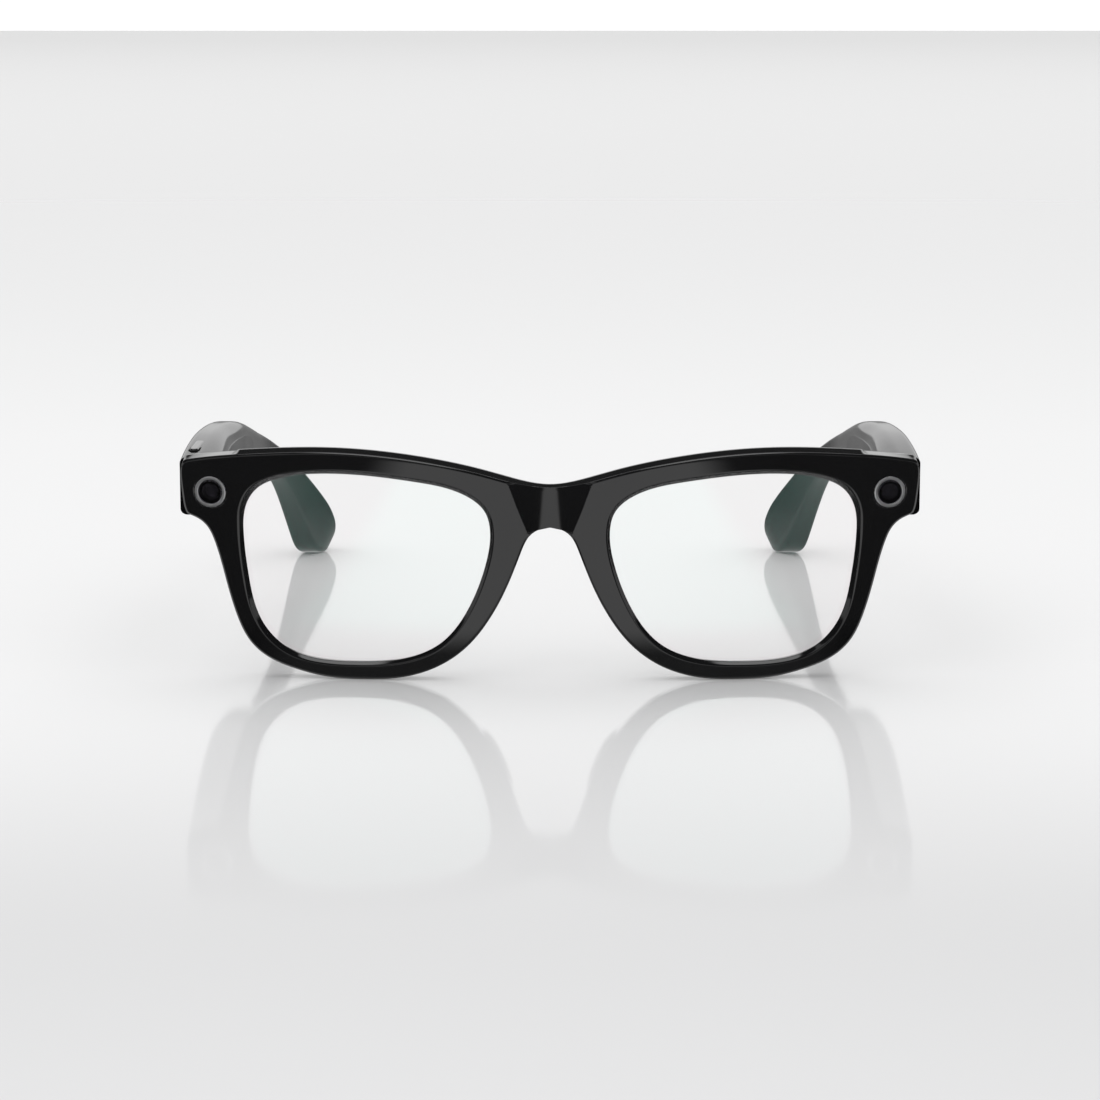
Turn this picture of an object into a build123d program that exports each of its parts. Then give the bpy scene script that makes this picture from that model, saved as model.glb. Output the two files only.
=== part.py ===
from build123d import *
import math
import os

# Smart glasses: a curved front with two lenses and two camera modules, and two hollow folding temples.
# Millimetres. X runs across the face, +Y from the lenses towards the ears, +Z up.
# "left" and "right" are the wearer's, so the left temple is on +X.

# Front
FACE_FORM_R = 432.0        # plan radius of the front
FRONT_TILT = 5.0           # degrees that the top of the front leans forward
FRONT_DROP = 0.11          # brings the rims' lowest line to the ground
RIM_DEPTH = 5.0            # front face to back face
LENS_FRONT, LENS_BACK = 1.5, 2.9  # depths of the lens surfaces behind the front face
LENS_GRIP = 0.7            # how far a lens reaches into its groove
GROOVE_STEPS = 36          # points that carry the grown outline
TOP_EDGE = [(0, 39.2), (7.8, 40.6), (14.0, 42.3), (23.4, 44.25), (32.85, 45.5), (43.4, 46.05), (59.2, 45.3), (71.3, 43.8)]
END_EDGE = [(72.15, 43.0), (72.5, 40.1), (72.2, 36.3), (71.6, 33.5)]
LOWER_EDGE = [
    (70.9, 32.7), (69.0, 31.8), (67.4, 30.3), (66.3, 28.1), (65.4, 25.3), (63.8, 18.8), (61.95, 12.3),
    (59.45, 7.2), (55.9, 4.05), (50.75, 1.9), (44.4, 0.4), (37.0, 0.05), (30.0, 0.5), (22.1, 3.0), (16.6, 6.9),
    (11.5, 13.5), (8.15, 20.1), (5.65, 26.55), (3.45, 30.3), (0, 31.4),
]
APERTURE = [
    (45.1, 41.9), (53.1, 40.7), (57.7, 38.3), (59.8, 34.7), (60.3, 29.5), (59.5, 20.6), (56.8, 10.9),
    (52.2, 6.1), (38.75, 3.55), (29.15, 4.35), (22.05, 7.35), (15.9, 15.15), (12.9, 22.8), (11.7, 29.8),
    (12.7, 34.6), (16.2, 37.8), (26.4, 40.6), (36.55, 41.75),
]
SCOOP_R = 20.0             # hollow milled across the front of the bridge
SCOOP_DEPTH_TOP = 1.67
SCOOP_DEPTH_LOW = 0.66

# Wiring channel along the brow, opened from behind
CHANNEL_FLOOR = 3.5        # depth of its floor behind the front face
CHANNEL_TOP = 1.4          # below the top edge
CHANNEL_LOW = 3.3
CHANNEL_HALF_LENGTH = 62.6
COVER_DEPTH = 1.0
FLEX_THICKNESS = 0.25

# Charging contacts, behind the bridge
CONTACT_X = (-2.4, 2.4)
CONTACT_Z = 34.7
CONTACT_R = 0.95

# Nose pads, behind the rims
PAD_AT = (11.9, 17.5)
PAD_STEP = 0.0
PAD_WIDTH, PAD_HEIGHT, PAD_DEPTH = 4.6, 15.0, 5.6
PAD_SLOPE = 24.0           # follows the edge of the nose gap
PAD_SPLAY = 14.0

# Camera modules, in the end pieces
MODULE_AT = (66.9, 37.5)
RING_R = 3.0
RING_HOLE_R = 2.45
RING_PROUD = 0.12
BARREL_R = 2.3
MODULE_DEPTH = 5.2

# End pieces and hinges
END_BLOCK_X = 61.8
END_BACK_Y = 12.0
MITRE_X = 66.0
MITRE_END = (75.2, 3.9)    # where the mitre plane would leave the side
END_LOW_Z = 30.6
JOINT_GAP = 0.3
HINGE_X, HINGE_Y = 65.2, 14.2
KNUCKLE_R = 1.4
PIN_R = 0.70
PIN_CLEARANCE = 0.04
KNUCKLE_LOW_Z = 32.6
KNUCKLE_HEIGHT = 1.7
KNUCKLE_GAP = 0.1
KNUCKLES = 5
LEAF_THICKNESS = 0.8
LEAF_SCREW_Z = (32.6, 42.6)
LEAF_SCREW_X = 63.3
LEAF_END_Y = 28.0

# Temples: side view (Y, Z) and plan (X, Y)
TEMPLE_TOP = [(3.0, 43.8), (15, 44.2), (40, 44.3), (57, 43.5), (69, 42.7), (81, 41.2), (93, 38.7), (105, 35.8),
              (124, 29.7), (139, 21.7), (149, 13.3), (153.6, 7.5)]
TIP_END = [(154.4, 4.2), (152.6, 1.2), (149.0, 0.0)]
TEMPLE_LOW = [(145.6, 1.0), (141.5, 5.5), (135, 13.7), (125, 22.4), (115, 26.6), (105, 27.8), (95, 26.6), (85, 25.0),
              (75, 24.4), (55, 25.5), (35, 27.9), (20, 30.4), (3.0, 32.9)]
TEMPLE_OUTER = [(72.3, 3.0), (73.2, 14), (74.1, 35), (74.4, 50), (74.1, 69), (73.1, 81), (71.3, 100), (69.6, 115),
                (67.0, 130), (63.9, 143), (61.4, 150), (59.7, 154.6)]
TEMPLE_INNER = [(52.5, 154.6), (54.1, 150), (56.5, 143), (60.2, 130), (63.4, 115), (65.4, 100), (66.7, 81),
                (67.1, 69), (67.1, 50), (66.5, 35), (66.1, 25), (65.9, 16), (65.9, 3.0)]
WALL = 1.3                 # side walls
COVER_WALL = 1.2           # inner cover
EDGE_WALL = 1.9            # top and bottom walls
COVER_INSET = 0.9          # rim of shell round the inner cover
COVER_Y = (30.0, 90.0)
CAVITY_Y = (31.5, 88.5)
FIT_GAP = 0.05
WIRE_PATH = [(93, 32.5), (105, 31.7), (124, 26.2), (136.5, 17.8), (146.8, 6.8)]
WIRE_HEIGHT = 2.2
WIRE_DEPTH = (2.6, 3.7)    # behind the temple's inner side

# Controls
BUTTON_AT = (71.1, 19.5)
BUTTON_LENGTH, BUTTON_WIDTH = 12.6, 1.7
BUTTON_TOP = 44.6
BUTTON_TRAVEL = 0.35
SWITCH_AT = (39.0, 35.5)   # Y, Z of the slider at rest
SWITCH_TRAVEL = 1.8

Y_CENTRE = 75.495          # middle of the whole object, front to back

SIDES = {"left": 1, "right": -1}
parts = {}


def keep(name, shape):
    """Stores one named piece, moved so that the object is centred front to back."""
    parts[name] = Pos(0, -Y_CENTRE, 0) * shape


def other_side(shape):
    """Mirror image on the wearer's right, solid by solid."""
    solids = [mirror(solid, about=Plane.YZ) for solid in shape.solids()]
    return solids[0] if len(solids) == 1 else Compound(children=solids)


def both_sides(name, shape):
    """The piece on the wearer's left, and its mirror image on the right."""
    keep("left_" + name, shape)
    keep("right_" + name, other_side(shape))


def tilted(shape):
    """From the front's own upright frame to its place on the glasses."""
    return Pos(0, 0, -FRONT_DROP) * Rot(FRONT_TILT, 0, 0) * shape


def sag(x):
    return FACE_FORM_R - math.sqrt(FACE_FORM_R**2 - x**2)


def across(face, y0, y1):
    """A face drawn in X and Z, extruded from depth y0 to y1."""
    return Pos(0, y1, 0) * extrude(Plane.XZ * face, amount=y1 - y0)


def sideways(face, x0, x1):
    """A face drawn in Y and Z, extruded from x0 to x1."""
    return Pos(x0, 0, 0) * extrude(Plane.YZ * face, amount=x1 - x0)


def upright(face, z0, z1):
    """A face drawn in X and Y, extruded from height z0 to z1."""
    return Pos(0, 0, z0) * extrude(face, amount=z1 - z0)


def block(x0, x1, y0, y1, z0, z1):
    return Pos((x0 + x1) / 2, (y0 + y1) / 2, (z0 + z1) / 2) * Box(x1 - x0, y1 - y0, z1 - z0)


def curved_layer(depth0, depth1):
    """The layer between two depths behind the curved front face."""
    outer = Cylinder(FACE_FORM_R - depth0, 140)
    inner = Cylinder(FACE_FORM_R - depth1, 140)
    return Pos(0, FACE_FORM_R, 20) * (outer - inner) & block(-80, 80, -20, 30, -10, 60)


def closed_outline():
    """The whole outline of the front, symmetric about X = 0."""
    top = Spline(*TOP_EDGE, tangents=[(1, 0), (1, -0.1)])
    corner = Spline(TOP_EDGE[-1], END_EDGE[0], tangents=[(1, -0.1), (0.05, -1)])
    side = Spline(*END_EDGE, tangents=[(0.05, -1), (-0.25, -1)])
    turn = Spline(END_EDGE[-1], LOWER_EDGE[0], tangents=[(-0.25, -1), (-1, -0.35)])
    low = Spline(*LOWER_EDGE, tangents=[(-1, -0.35), (-1, 0)])
    half = [top, corner, side, turn, low]
    return make_face(half + [mirror(edge, about=Plane.YZ) for edge in half])


def aperture(grow=0.0):
    """Outline of the left opening, or one that stays a given distance outside it."""
    edge = Spline(*APERTURE, periodic=True)
    if not grow:
        return make_face(edge)
    points = []
    for step in range(GROOVE_STEPS):
        on_edge, along = edge @ (step / GROOVE_STEPS), edge % (step / GROOVE_STEPS)
        points.append((on_edge.X - grow * along.Y, on_edge.Y + grow * along.X))
    return make_face(Spline(*points, periodic=True))


def on_side(face, side):
    """A face drawn for the wearer's left, or its mirror image."""
    return face if side > 0 else mirror(face, about=Plane.YZ)


def module_place():
    """Where the left camera module looks out: its Z axis points out of the curved face."""
    x, z = MODULE_AT
    lean = math.asin(x / FACE_FORM_R)
    return Plane(origin=(x, sag(x), z), x_dir=(math.cos(lean), math.sin(lean), 0), z_dir=(math.sin(lean), -math.cos(lean), 0))


def turned_disc(radius, z0, z1, hole=0.0):
    disc = Pos(0, 0, (z0 + z1) / 2) * Cylinder(radius, z1 - z0)
    if hole:
        disc -= Pos(0, 0, (z0 + z1) / 2) * Cylinder(hole, z1 - z0 + 1)
    return disc


def pill(length, width):
    return SlotOverall(length, width)


OUTLINE = closed_outline()
APERTURE_FACE = aperture()
GROOVE_FACE = aperture(LENS_GRIP + FIT_GAP)
LENS_FACE = aperture(LENS_GRIP)
SIDE_FACE = make_face([
    Spline(*TEMPLE_TOP, *TIP_END, *TEMPLE_LOW),
    Line(TEMPLE_LOW[-1], TEMPLE_TOP[0]),
])
PLAN_FACE = make_face([
    Spline(*TEMPLE_OUTER),
    Line(TEMPLE_OUTER[-1], TEMPLE_INNER[0]),
    Spline(*TEMPLE_INNER),
    Line(TEMPLE_INNER[-1], TEMPLE_OUTER[0]),
])


def end_plan(grow):
    """Plan of the end piece behind the face, cut off by the mitre that the temple closes against."""
    return make_face(Polyline((END_BLOCK_X, -6), (END_BLOCK_X, END_BACK_Y + grow), (MITRE_X + grow * 0.4, END_BACK_Y + grow),
                              (MITRE_END[0] + grow * 0.7, MITRE_END[1] + grow * 0.7), (MITRE_END[0] + grow * 0.7, -6), close=True))


def mitre_waste():
    """Plan of what lies behind the mitre, where the temple begins."""
    slope = (END_BACK_Y - MITRE_END[1]) / (MITRE_END[0] - MITRE_X)
    far_x = 80.0
    far_y = END_BACK_Y - slope * (far_x - MITRE_X)
    return make_face(Polyline((MITRE_X, END_BACK_Y), (far_x, far_y), (far_x, 40), (MITRE_X, 40), close=True))


def end_block():
    """The deep end piece that holds a camera module, in the glasses' own frame."""
    body = tilted(across(OUTLINE, 0.0, 24.0))
    body &= upright(end_plan(0), END_LOW_Z, 50)
    return body - tilted(Pos(0, FACE_FORM_R, 20) * Cylinder(FACE_FORM_R + 20, 140) - Pos(0, FACE_FORM_R, 20) * Cylinder(FACE_FORM_R, 140))


def bridge_scoop():
    """A tapered round cutter that hollows the front of the bridge, deeper at the top."""
    z_low, z_top = LOWER_EDGE[-1][1], TOP_EDGE[0][1]
    lean = math.degrees(math.atan((SCOOP_DEPTH_TOP - SCOOP_DEPTH_LOW) / (z_top - z_low)))
    middle = (z_low + z_top) / 2
    depth = (SCOOP_DEPTH_TOP + SCOOP_DEPTH_LOW) / 2
    return Pos(0, depth, middle) * Rot(-lean, 0, 0) * Pos(0, -SCOOP_R, 0) * Cylinder(SCOOP_R, 40)


def brow_strip(top, low, half_length):
    """The strip between two heights below the top edge, over the lenses and the bridge."""
    strip = Pos(0, -top) * OUTLINE - Pos(0, -low) * OUTLINE
    window = Pos(0, 42) * Rectangle(2 * half_length, 14)
    return make_face((Pos(0, -top) * OUTLINE & window).face().outer_wire()) - Pos(0, -low) * OUTLINE


def module_tools():
    """The bores and the board pocket of the left camera module."""
    bores = turned_disc(RING_R + 0.02, -1.25, 3.0) + turned_disc(BARREL_R + 0.3, -MODULE_DEPTH, 0)
    return module_place() * (bores + Pos(0, 0, -MODULE_DEPTH + 0.4) * Box(5.6, 5.6, 1.6))


def make_front():
    """The front in one piece: rims, bridge and both end pieces, with everything cut into it."""
    body = across(OUTLINE, -4, 20) & curved_layer(0, RIM_DEPTH)
    for side in SIDES.values():
        body -= across(on_side(APERTURE_FACE, side), -4, 20)
        body -= across(on_side(GROOVE_FACE, side), -4, 20) & curved_layer(LENS_FRONT - FIT_GAP, LENS_BACK + FIT_GAP)
    body -= bridge_scoop()
    strip = brow_strip(CHANNEL_TOP, CHANNEL_LOW, CHANNEL_HALF_LENGTH)
    body -= across(strip, -4, 20) & curved_layer(CHANNEL_FLOOR, RIM_DEPTH + 2)
    body -= across(Pos(0, 34.2) * Rectangle(3.3, 2.9), 1.9, 3.3)
    body -= Pos(0, 2.6, 32.1) * Cylinder(0.4, 3)
    for x in CONTACT_X:
        body -= Pos(x, RIM_DEPTH - 0.3, CONTACT_Z) * Rot(90, 0, 0) * Cylinder(1.0, 1.4)
    body = tilted(body)
    for side in SIDES.values():
        body -= upright(on_side(mitre_waste(), side), END_LOW_Z - 4, 50)
    pocket_plan = Polyline((63.1, 5.6), (63.1, 13), (65.6, 13), (65.6, 10.9), (68.2, 8.6), (68.2, 5.6), close=True)
    cuts = [tilted(module_tools()), upright(make_face(pocket_plan), 33.4, 41.8), block(61.0, 64.0, 1.6, 7.0, 41.0, 42.2)]
    cuts += [Pos(LEAF_SCREW_X, 10.5, z) * Rot(90, 0, 0) * Cylinder(0.35, 8) for z in LEAF_SCREW_Z]
    left = end_block() - tilted(across(GROOVE_FACE, -4, 6))
    body = body + left + mirror(left, about=Plane.YZ)
    for cut in cuts:
        body -= cut
        body -= mirror(cut, about=Plane.YZ)
    keep("front_frame", body)
    cover = across(brow_strip(CHANNEL_TOP + FIT_GAP, CHANNEL_LOW - FIT_GAP, END_BLOCK_X - FIT_GAP), -4, 20)
    keep("brow_rear_cover", tilted(cover & curved_layer(RIM_DEPTH - COVER_DEPTH, RIM_DEPTH)))
    flex = across(brow_strip(CHANNEL_TOP + 0.3, CHANNEL_LOW - 0.3, CHANNEL_HALF_LENGTH - 1.2), -4, 20)
    keep("front_flex_cable", tilted(flex & curved_layer(CHANNEL_FLOOR + FIT_GAP, CHANNEL_FLOOR + FIT_GAP + FLEX_THICKNESS)))


def make_lenses():
    for name, side in SIDES.items():
        lens = across(on_side(LENS_FACE, side), -4, 20) & curved_layer(LENS_FRONT, LENS_BACK)
        keep(name + "_lens", tilted(lens))


def make_camera_modules():
    place = module_place()
    ring = turned_disc(RING_R, -1.2, RING_PROUD, RING_HOLE_R)
    ring = chamfer(ring.edges().filter_by(GeomType.CIRCLE).group_by(Axis.Z)[-1], 0.12)
    window = turned_disc(RING_HOLE_R - FIT_GAP, -0.8, -0.2)
    barrel = turned_disc(BARREL_R, -4.0, -0.85, 1.3)
    barrel -= Pos(0, 0, -1.1) * Cone(1.3, 1.9, 0.6)
    glass = turned_disc(1.26, -3.4, -1.5) & Pos(0, 0, -4.6) * Sphere(3.2)
    board = Pos(0, 0, -4.55) * Box(5.2, 5.2, 0.5) + Pos(0, 0, -4.2) * Box(3.4, 3.4, 0.3)
    both_sides("camera_ring", tilted(place * ring))
    both_sides("camera_window", tilted(place * window))
    both_sides("camera_barrel", tilted(place * barrel))
    both_sides("camera_lens", tilted(place * glass))
    both_sides("camera_board", tilted(place * board))


def make_bridge_parts():
    contacts = [Pos(x, RIM_DEPTH - 0.45, CONTACT_Z) * Rot(90, 0, 0) * Cylinder(CONTACT_R, 0.9) for x in CONTACT_X]
    keep("charging_contacts", tilted(Compound(children=contacts)))
    microphone = across(Pos(0, 34.2) * Rectangle(3.2, 2.8), 2.0, 3.2)
    keep("bridge_microphone", tilted(microphone))


def make_nose_pads():
    """A soft-looking pad on the back of each rim, beside the nose."""
    for name, side in SIDES.items():
        pad = extrude(Pos(0, PAD_STEP) * Ellipse(PAD_WIDTH / 2, PAD_HEIGHT / 2), amount=PAD_DEPTH, taper=18)
        pad = fillet(pad.faces().sort_by(Axis.Z)[-1].edges(), 0.5)
        place = Pos(side * PAD_AT[0], 0, PAD_AT[1]) * Rot(0, side * PAD_SLOPE, 0) * Rot(0, 0, -side * PAD_SPLAY)
        pad = place * Pos(0, RIM_DEPTH - 1, 0) * Rot(-90, 0, 0) * pad
        keep(name + "_nose_pad", tilted(pad & curved_layer(RIM_DEPTH, RIM_DEPTH + 12)))


def knuckle(index, radius=KNUCKLE_R):
    z = KNUCKLE_LOW_Z + index * KNUCKLE_HEIGHT
    return Pos(HINGE_X, HINGE_Y, z + KNUCKLE_HEIGHT / 2) * Cylinder(radius, KNUCKLE_HEIGHT - KNUCKLE_GAP)


def make_hinges():
    """Five knuckles on one screw: three on the front's leaf and two on the temple's."""
    z0, z1 = KNUCKLE_LOW_Z, KNUCKLE_LOW_Z + KNUCKLES * KNUCKLE_HEIGHT
    bore = Pos(HINGE_X, HINGE_Y, 37) * Cylinder(PIN_R + PIN_CLEARANCE, 30)
    front_leaf = block(62.5, 65.5, END_BACK_Y, END_BACK_Y + 0.7, 32.0, 43.1)
    temple_leaf = block(HINGE_X + 0.75, HINGE_X + 0.75 + LEAF_THICKNESS, HINGE_Y + 1.7, LEAF_END_Y, z0 + 0.6, z1 - 0.6)
    for index in range(KNUCKLES):
        z = z0 + index * KNUCKLE_HEIGHT
        low, high = z + KNUCKLE_GAP / 2, z + KNUCKLE_HEIGHT - KNUCKLE_GAP / 2
        if index % 2 == 0:
            front_leaf += knuckle(index) + block(HINGE_X - 1.2, HINGE_X + 0.7, END_BACK_Y, HINGE_Y, low, high)
        else:
            temple_leaf += knuckle(index) + block(HINGE_X, HINGE_X + 1.4, HINGE_Y, HINGE_Y + 1.9, low, high)
    for z in LEAF_SCREW_Z:
        front_leaf -= Pos(LEAF_SCREW_X, 12.4, z) * Rot(90, 0, 0) * Cylinder(0.4, 3)
    for y in (20.0, 25.4):
        temple_leaf -= Pos(66.4, y, 36.9) * Rot(0, 90, 0) * Cylinder(0.55, 3)
    both_sides("front_hinge", front_leaf - bore)
    both_sides("temple_hinge", temple_leaf - bore)
    screw = Pos(HINGE_X, HINGE_Y, (z0 + z1) / 2) * Cylinder(PIN_R, z1 - z0)
    head = Pos(HINGE_X, HINGE_Y, z1 + 0.3) * Cylinder(1.15, 0.6)
    slot = Pos(HINGE_X, HINGE_Y, z1 + 0.6) * Box(0.35, 3, 0.5)
    both_sides("hinge_screw", screw + head - slot)
    fixing = []
    for z in LEAF_SCREW_Z:
        shank = Pos(LEAF_SCREW_X, 10.0, z) * Rot(90, 0, 0) * Cylinder(0.33, 5.4)
        cap = Pos(LEAF_SCREW_X, END_BACK_Y + 0.9, z) * Rot(90, 0, 0) * Cylinder(0.5, 0.4)
        fixing.append(shank + cap)
    both_sides("front_hinge_fixings", Compound(children=fixing))
    fixing = []
    for y in (20.0, 25.4):
        shank = Pos(67.1, y, 36.9) * Rot(0, 90, 0) * Cylinder(0.5, 2.6)
        cap = Pos(65.75, y, 36.9) * Rot(0, 90, 0) * Cylinder(0.9, 0.4)
        fixing.append(shank + cap)
    both_sides("temple_hinge_fixings", Compound(children=fixing))
    cover = block(63.15, 65.55, END_BACK_Y - 1.1, END_BACK_Y, 33.45, 41.75)
    both_sides("end_piece_cover", cover)


def temple_blank():
    blank = sideways(SIDE_FACE, 50, 80) & upright(PLAN_FACE, -2, 50)
    return blank - upright(end_plan(JOINT_GAP), 20, 50) - block(40, 63, -5, END_BACK_Y + 1, 20, 50)


def temple_region(inset, y0, y1):
    """Side view of the temple between two depths, with its top and bottom edges moved in."""
    window = Pos((y0 + y1) / 2, 30) * Rectangle(y1 - y0, 40)
    return Pos(0, -inset) * SIDE_FACE & Pos(0, inset) * SIDE_FACE & window


def core_wire(grow):
    """The flat metal strip inside the ear section, or with grow the slot it lies in."""
    half = WIRE_HEIGHT / 2 + grow
    low, high = Spline(*[(y, z - half) for y, z in WIRE_PATH]), Spline(*[(y, z + half) for y, z in WIRE_PATH])
    side = make_face([low, high, Line(low @ 0, high @ 0), Line(low @ 1, high @ 1)])
    near, far = WIRE_DEPTH[0] - grow, WIRE_DEPTH[1] + grow
    inner = [(x + near, y) for x, y in TEMPLE_INNER[:8]]
    outer = [(x + far, y) for x, y in TEMPLE_INNER[:8]]
    near_line, far_line = Spline(*inner), Spline(*outer)
    plan = make_face([near_line, far_line, Line(near_line @ 0, far_line @ 0), Line(near_line @ 1, far_line @ 1)])
    return sideways(side, 50, 80) & upright(plan, 0, 50)


def make_temples():
    blank = temple_blank()
    inner_band = upright(PLAN_FACE - Pos(COVER_WALL, 0) * PLAN_FACE, 0, 50)
    cavity_plan = Pos(COVER_WALL, 0) * PLAN_FACE & Pos(-WALL, 0) * PLAN_FACE
    recess = sideways(temple_region(COVER_INSET, *COVER_Y), 60, 80) & upright(PLAN_FACE - Pos(COVER_WALL, 0) * PLAN_FACE, 0, 50)
    cavity = sideways(temple_region(EDGE_WALL, *CAVITY_Y), 60, 80) & upright(cavity_plan, 0, 50)
    cover_side = temple_region(COVER_INSET + FIT_GAP, COVER_Y[0] + FIT_GAP, COVER_Y[1] - FIT_GAP)
    cover = sideways(cover_side, 60, 80) & inner_band
    hinge_pocket = block(60, 66.8, 0, LEAF_END_Y + 0.2, 32.2, 42.0)
    screw_holes = [Pos(67.2, y, 36.9) * Rot(0, 90, 0) * Cylinder(0.56, 2.8) for y in (20.0, 25.4)]
    cable_duct = block(68.4, 71.4, 8, 32, 35.2, 38.2)
    shell = blank - recess - cavity - hinge_pocket - cable_duct
    for hole in screw_holes:
        shell -= hole
    shell -= core_wire(FIT_GAP)
    vent_low = block(70.2, 71.6, 70, 82, 20, 29)
    vent_top = block(70.2, 71.4, 72, 80, 38, 46)
    shell -= vent_low + vent_top
    shell -= Pos(71.1, 37.5, 27) * Cylinder(0.45, 8)
    right_shell = mirror(shell, about=Plane.YZ)
    right_shell -= button_tools()
    keep("left_temple_shell", shell)
    keep("right_temple_shell", right_shell)
    both_sides("temple_core_wire", core_wire(0))
    keep("right_temple_inner_cover", mirror(cover, about=Plane.YZ))
    y, z = SWITCH_AT
    slot_face = Pos(y + SWITCH_TRAVEL / 2, z) * pill(4.0 + SWITCH_TRAVEL + 0.4, 1.9)
    keep("left_temple_inner_cover", cover - sideways(slot_face, 60, 75))
    mesh_low = block(70.25, 71.55, 70.05, 81.95, 20, 29) & sideways(temple_region(0.5, 69, 83) - temple_region(0.9, 69, 83), 60, 80)
    mesh_top = block(70.25, 71.35, 72.05, 79.95, 38, 46) & sideways(temple_region(0.5, 69, 83) - temple_region(0.9, 69, 83), 60, 80)
    both_sides("speaker_mesh", Compound(children=[mesh_low, mesh_top]))


def button_tools():
    x, y = -BUTTON_AT[0], BUTTON_AT[1]
    opening = Pos(x, y, 41) * Rot(0, 0, 90) * extrude(pill(BUTTON_LENGTH + 0.3, BUTTON_WIDTH + 0.3), amount=6)
    room = Pos(x, y, 39.2) * Rot(0, 0, 90) * extrude(pill(BUTTON_LENGTH + 1.4, BUTTON_WIDTH + 1.2), amount=3.4)
    return opening + room


def make_controls():
    x, y = -BUTTON_AT[0], BUTTON_AT[1]
    stem = Pos(x, y, 41.6) * Rot(0, 0, 90) * extrude(pill(BUTTON_LENGTH, BUTTON_WIDTH), amount=BUTTON_TOP - 41.6)
    stem = fillet(stem.faces().sort_by(Axis.Z)[-1].edges(), 0.3)
    flange = Pos(x, y, 41.5) * Rot(0, 0, 90) * extrude(pill(BUTTON_LENGTH + 0.9, BUTTON_WIDTH + 0.8), amount=0.7)
    keep("capture_button", stem + flange)
    base = Pos(x, y, 39.25) * Rot(0, 0, 90) * extrude(pill(6.0, 2.6), amount=1.0)
    keep("button_switch", base + Pos(x, y, 40.6) * Cylinder(0.9, 0.9))
    y, z = SWITCH_AT
    knob = sideways(Pos(y, z) * pill(4.0, 1.6), 66.0, 68.7) + sideways(Pos(y, z) * Rectangle(5.4, 3.0), 68.3, 68.9)
    keep("power_switch", knob)
    keep("power_switch_base", block(69.0, 70.7, y - 4.5, y + 4.4, z - 2.2, z + 2.2))


def make_electronics():
    keep("main_board", mirror(block(70.4, 71.1, 42.5, 66.5, 29.2, 40.4), about=Plane.YZ))
    chips = [block(69.7, 70.4, 46, 54, 30.5, 38.5), block(69.7, 70.4, 56.5, 62, 31.5, 37)]
    keep("processor_and_memory", other_side(Compound(children=chips)))
    keep("touch_sensor", mirror(block(72.35, 72.65, 34, 66, 30.5, 39.6), about=Plane.YZ))
    battery = block(69.7, 72.7, 44.0, 66.6, 28.9, 40.4)
    keep("battery", fillet(battery.edges().filter_by(Axis.Y), 1.2))
    keep("battery_board", block(69.7, 70.4, 67.2, 69.2, 29.5, 39.5))
    speaker = block(69.0, 71.2, 70.2, 84.6, 28.2, 36.6)
    speaker = fillet(speaker.edges().filter_by(Axis.X), 1.5)
    both_sides("speaker", speaker - block(69.8, 71.0, 72, 80, 27, 29))
    both_sides("temple_microphone", block(69.8, 72.2, 36.0, 39.0, 30.2, 31.2))


make_front()
make_lenses()
make_camera_modules()
make_bridge_parts()
make_nose_pads()
make_hinges()
make_temples()
make_controls()
make_electronics()

os.makedirs("parts", exist_ok=True)
for name, shape in parts.items():
    export_step(shape, f"parts/{name}.step")

boxes = [shape.bounding_box() for shape in parts.values()]
low = [min(box.min.X for box in boxes), min(box.min.Y for box in boxes), min(box.min.Z for box in boxes)]
high = [max(box.max.X for box in boxes), max(box.max.Y for box in boxes), max(box.max.Z for box in boxes)]
print(len(parts), "nodes, low corner", [round(v, 3) for v in low], "high corner", [round(v, 3) for v in high])
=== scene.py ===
import math

import bmesh
import bpy
import numpy as np
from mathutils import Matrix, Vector


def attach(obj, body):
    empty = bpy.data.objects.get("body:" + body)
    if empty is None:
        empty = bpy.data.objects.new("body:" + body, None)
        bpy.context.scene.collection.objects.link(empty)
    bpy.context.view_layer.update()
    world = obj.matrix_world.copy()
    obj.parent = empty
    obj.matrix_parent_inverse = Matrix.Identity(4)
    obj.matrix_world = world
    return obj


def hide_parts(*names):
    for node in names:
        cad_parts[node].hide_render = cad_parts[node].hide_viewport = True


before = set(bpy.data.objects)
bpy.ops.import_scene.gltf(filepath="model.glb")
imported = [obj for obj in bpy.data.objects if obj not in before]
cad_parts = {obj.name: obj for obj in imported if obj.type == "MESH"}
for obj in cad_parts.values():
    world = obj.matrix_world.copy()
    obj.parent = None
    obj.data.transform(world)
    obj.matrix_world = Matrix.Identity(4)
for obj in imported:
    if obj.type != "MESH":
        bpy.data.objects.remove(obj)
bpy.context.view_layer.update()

bl_info = {
    "name": "Smart Glasses",
    "version": (1, 0, 0),
    "blender": (4, 5, 0),
    "location": "View3D > Sidebar > Glasses",
    "description": "Builds the visible pieces of a pair of smart glasses round their engineering frame",
    "category": "Object",
}

MM = 0.001
SIDES = {"left": 1.0, "right": -1.0}

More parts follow.
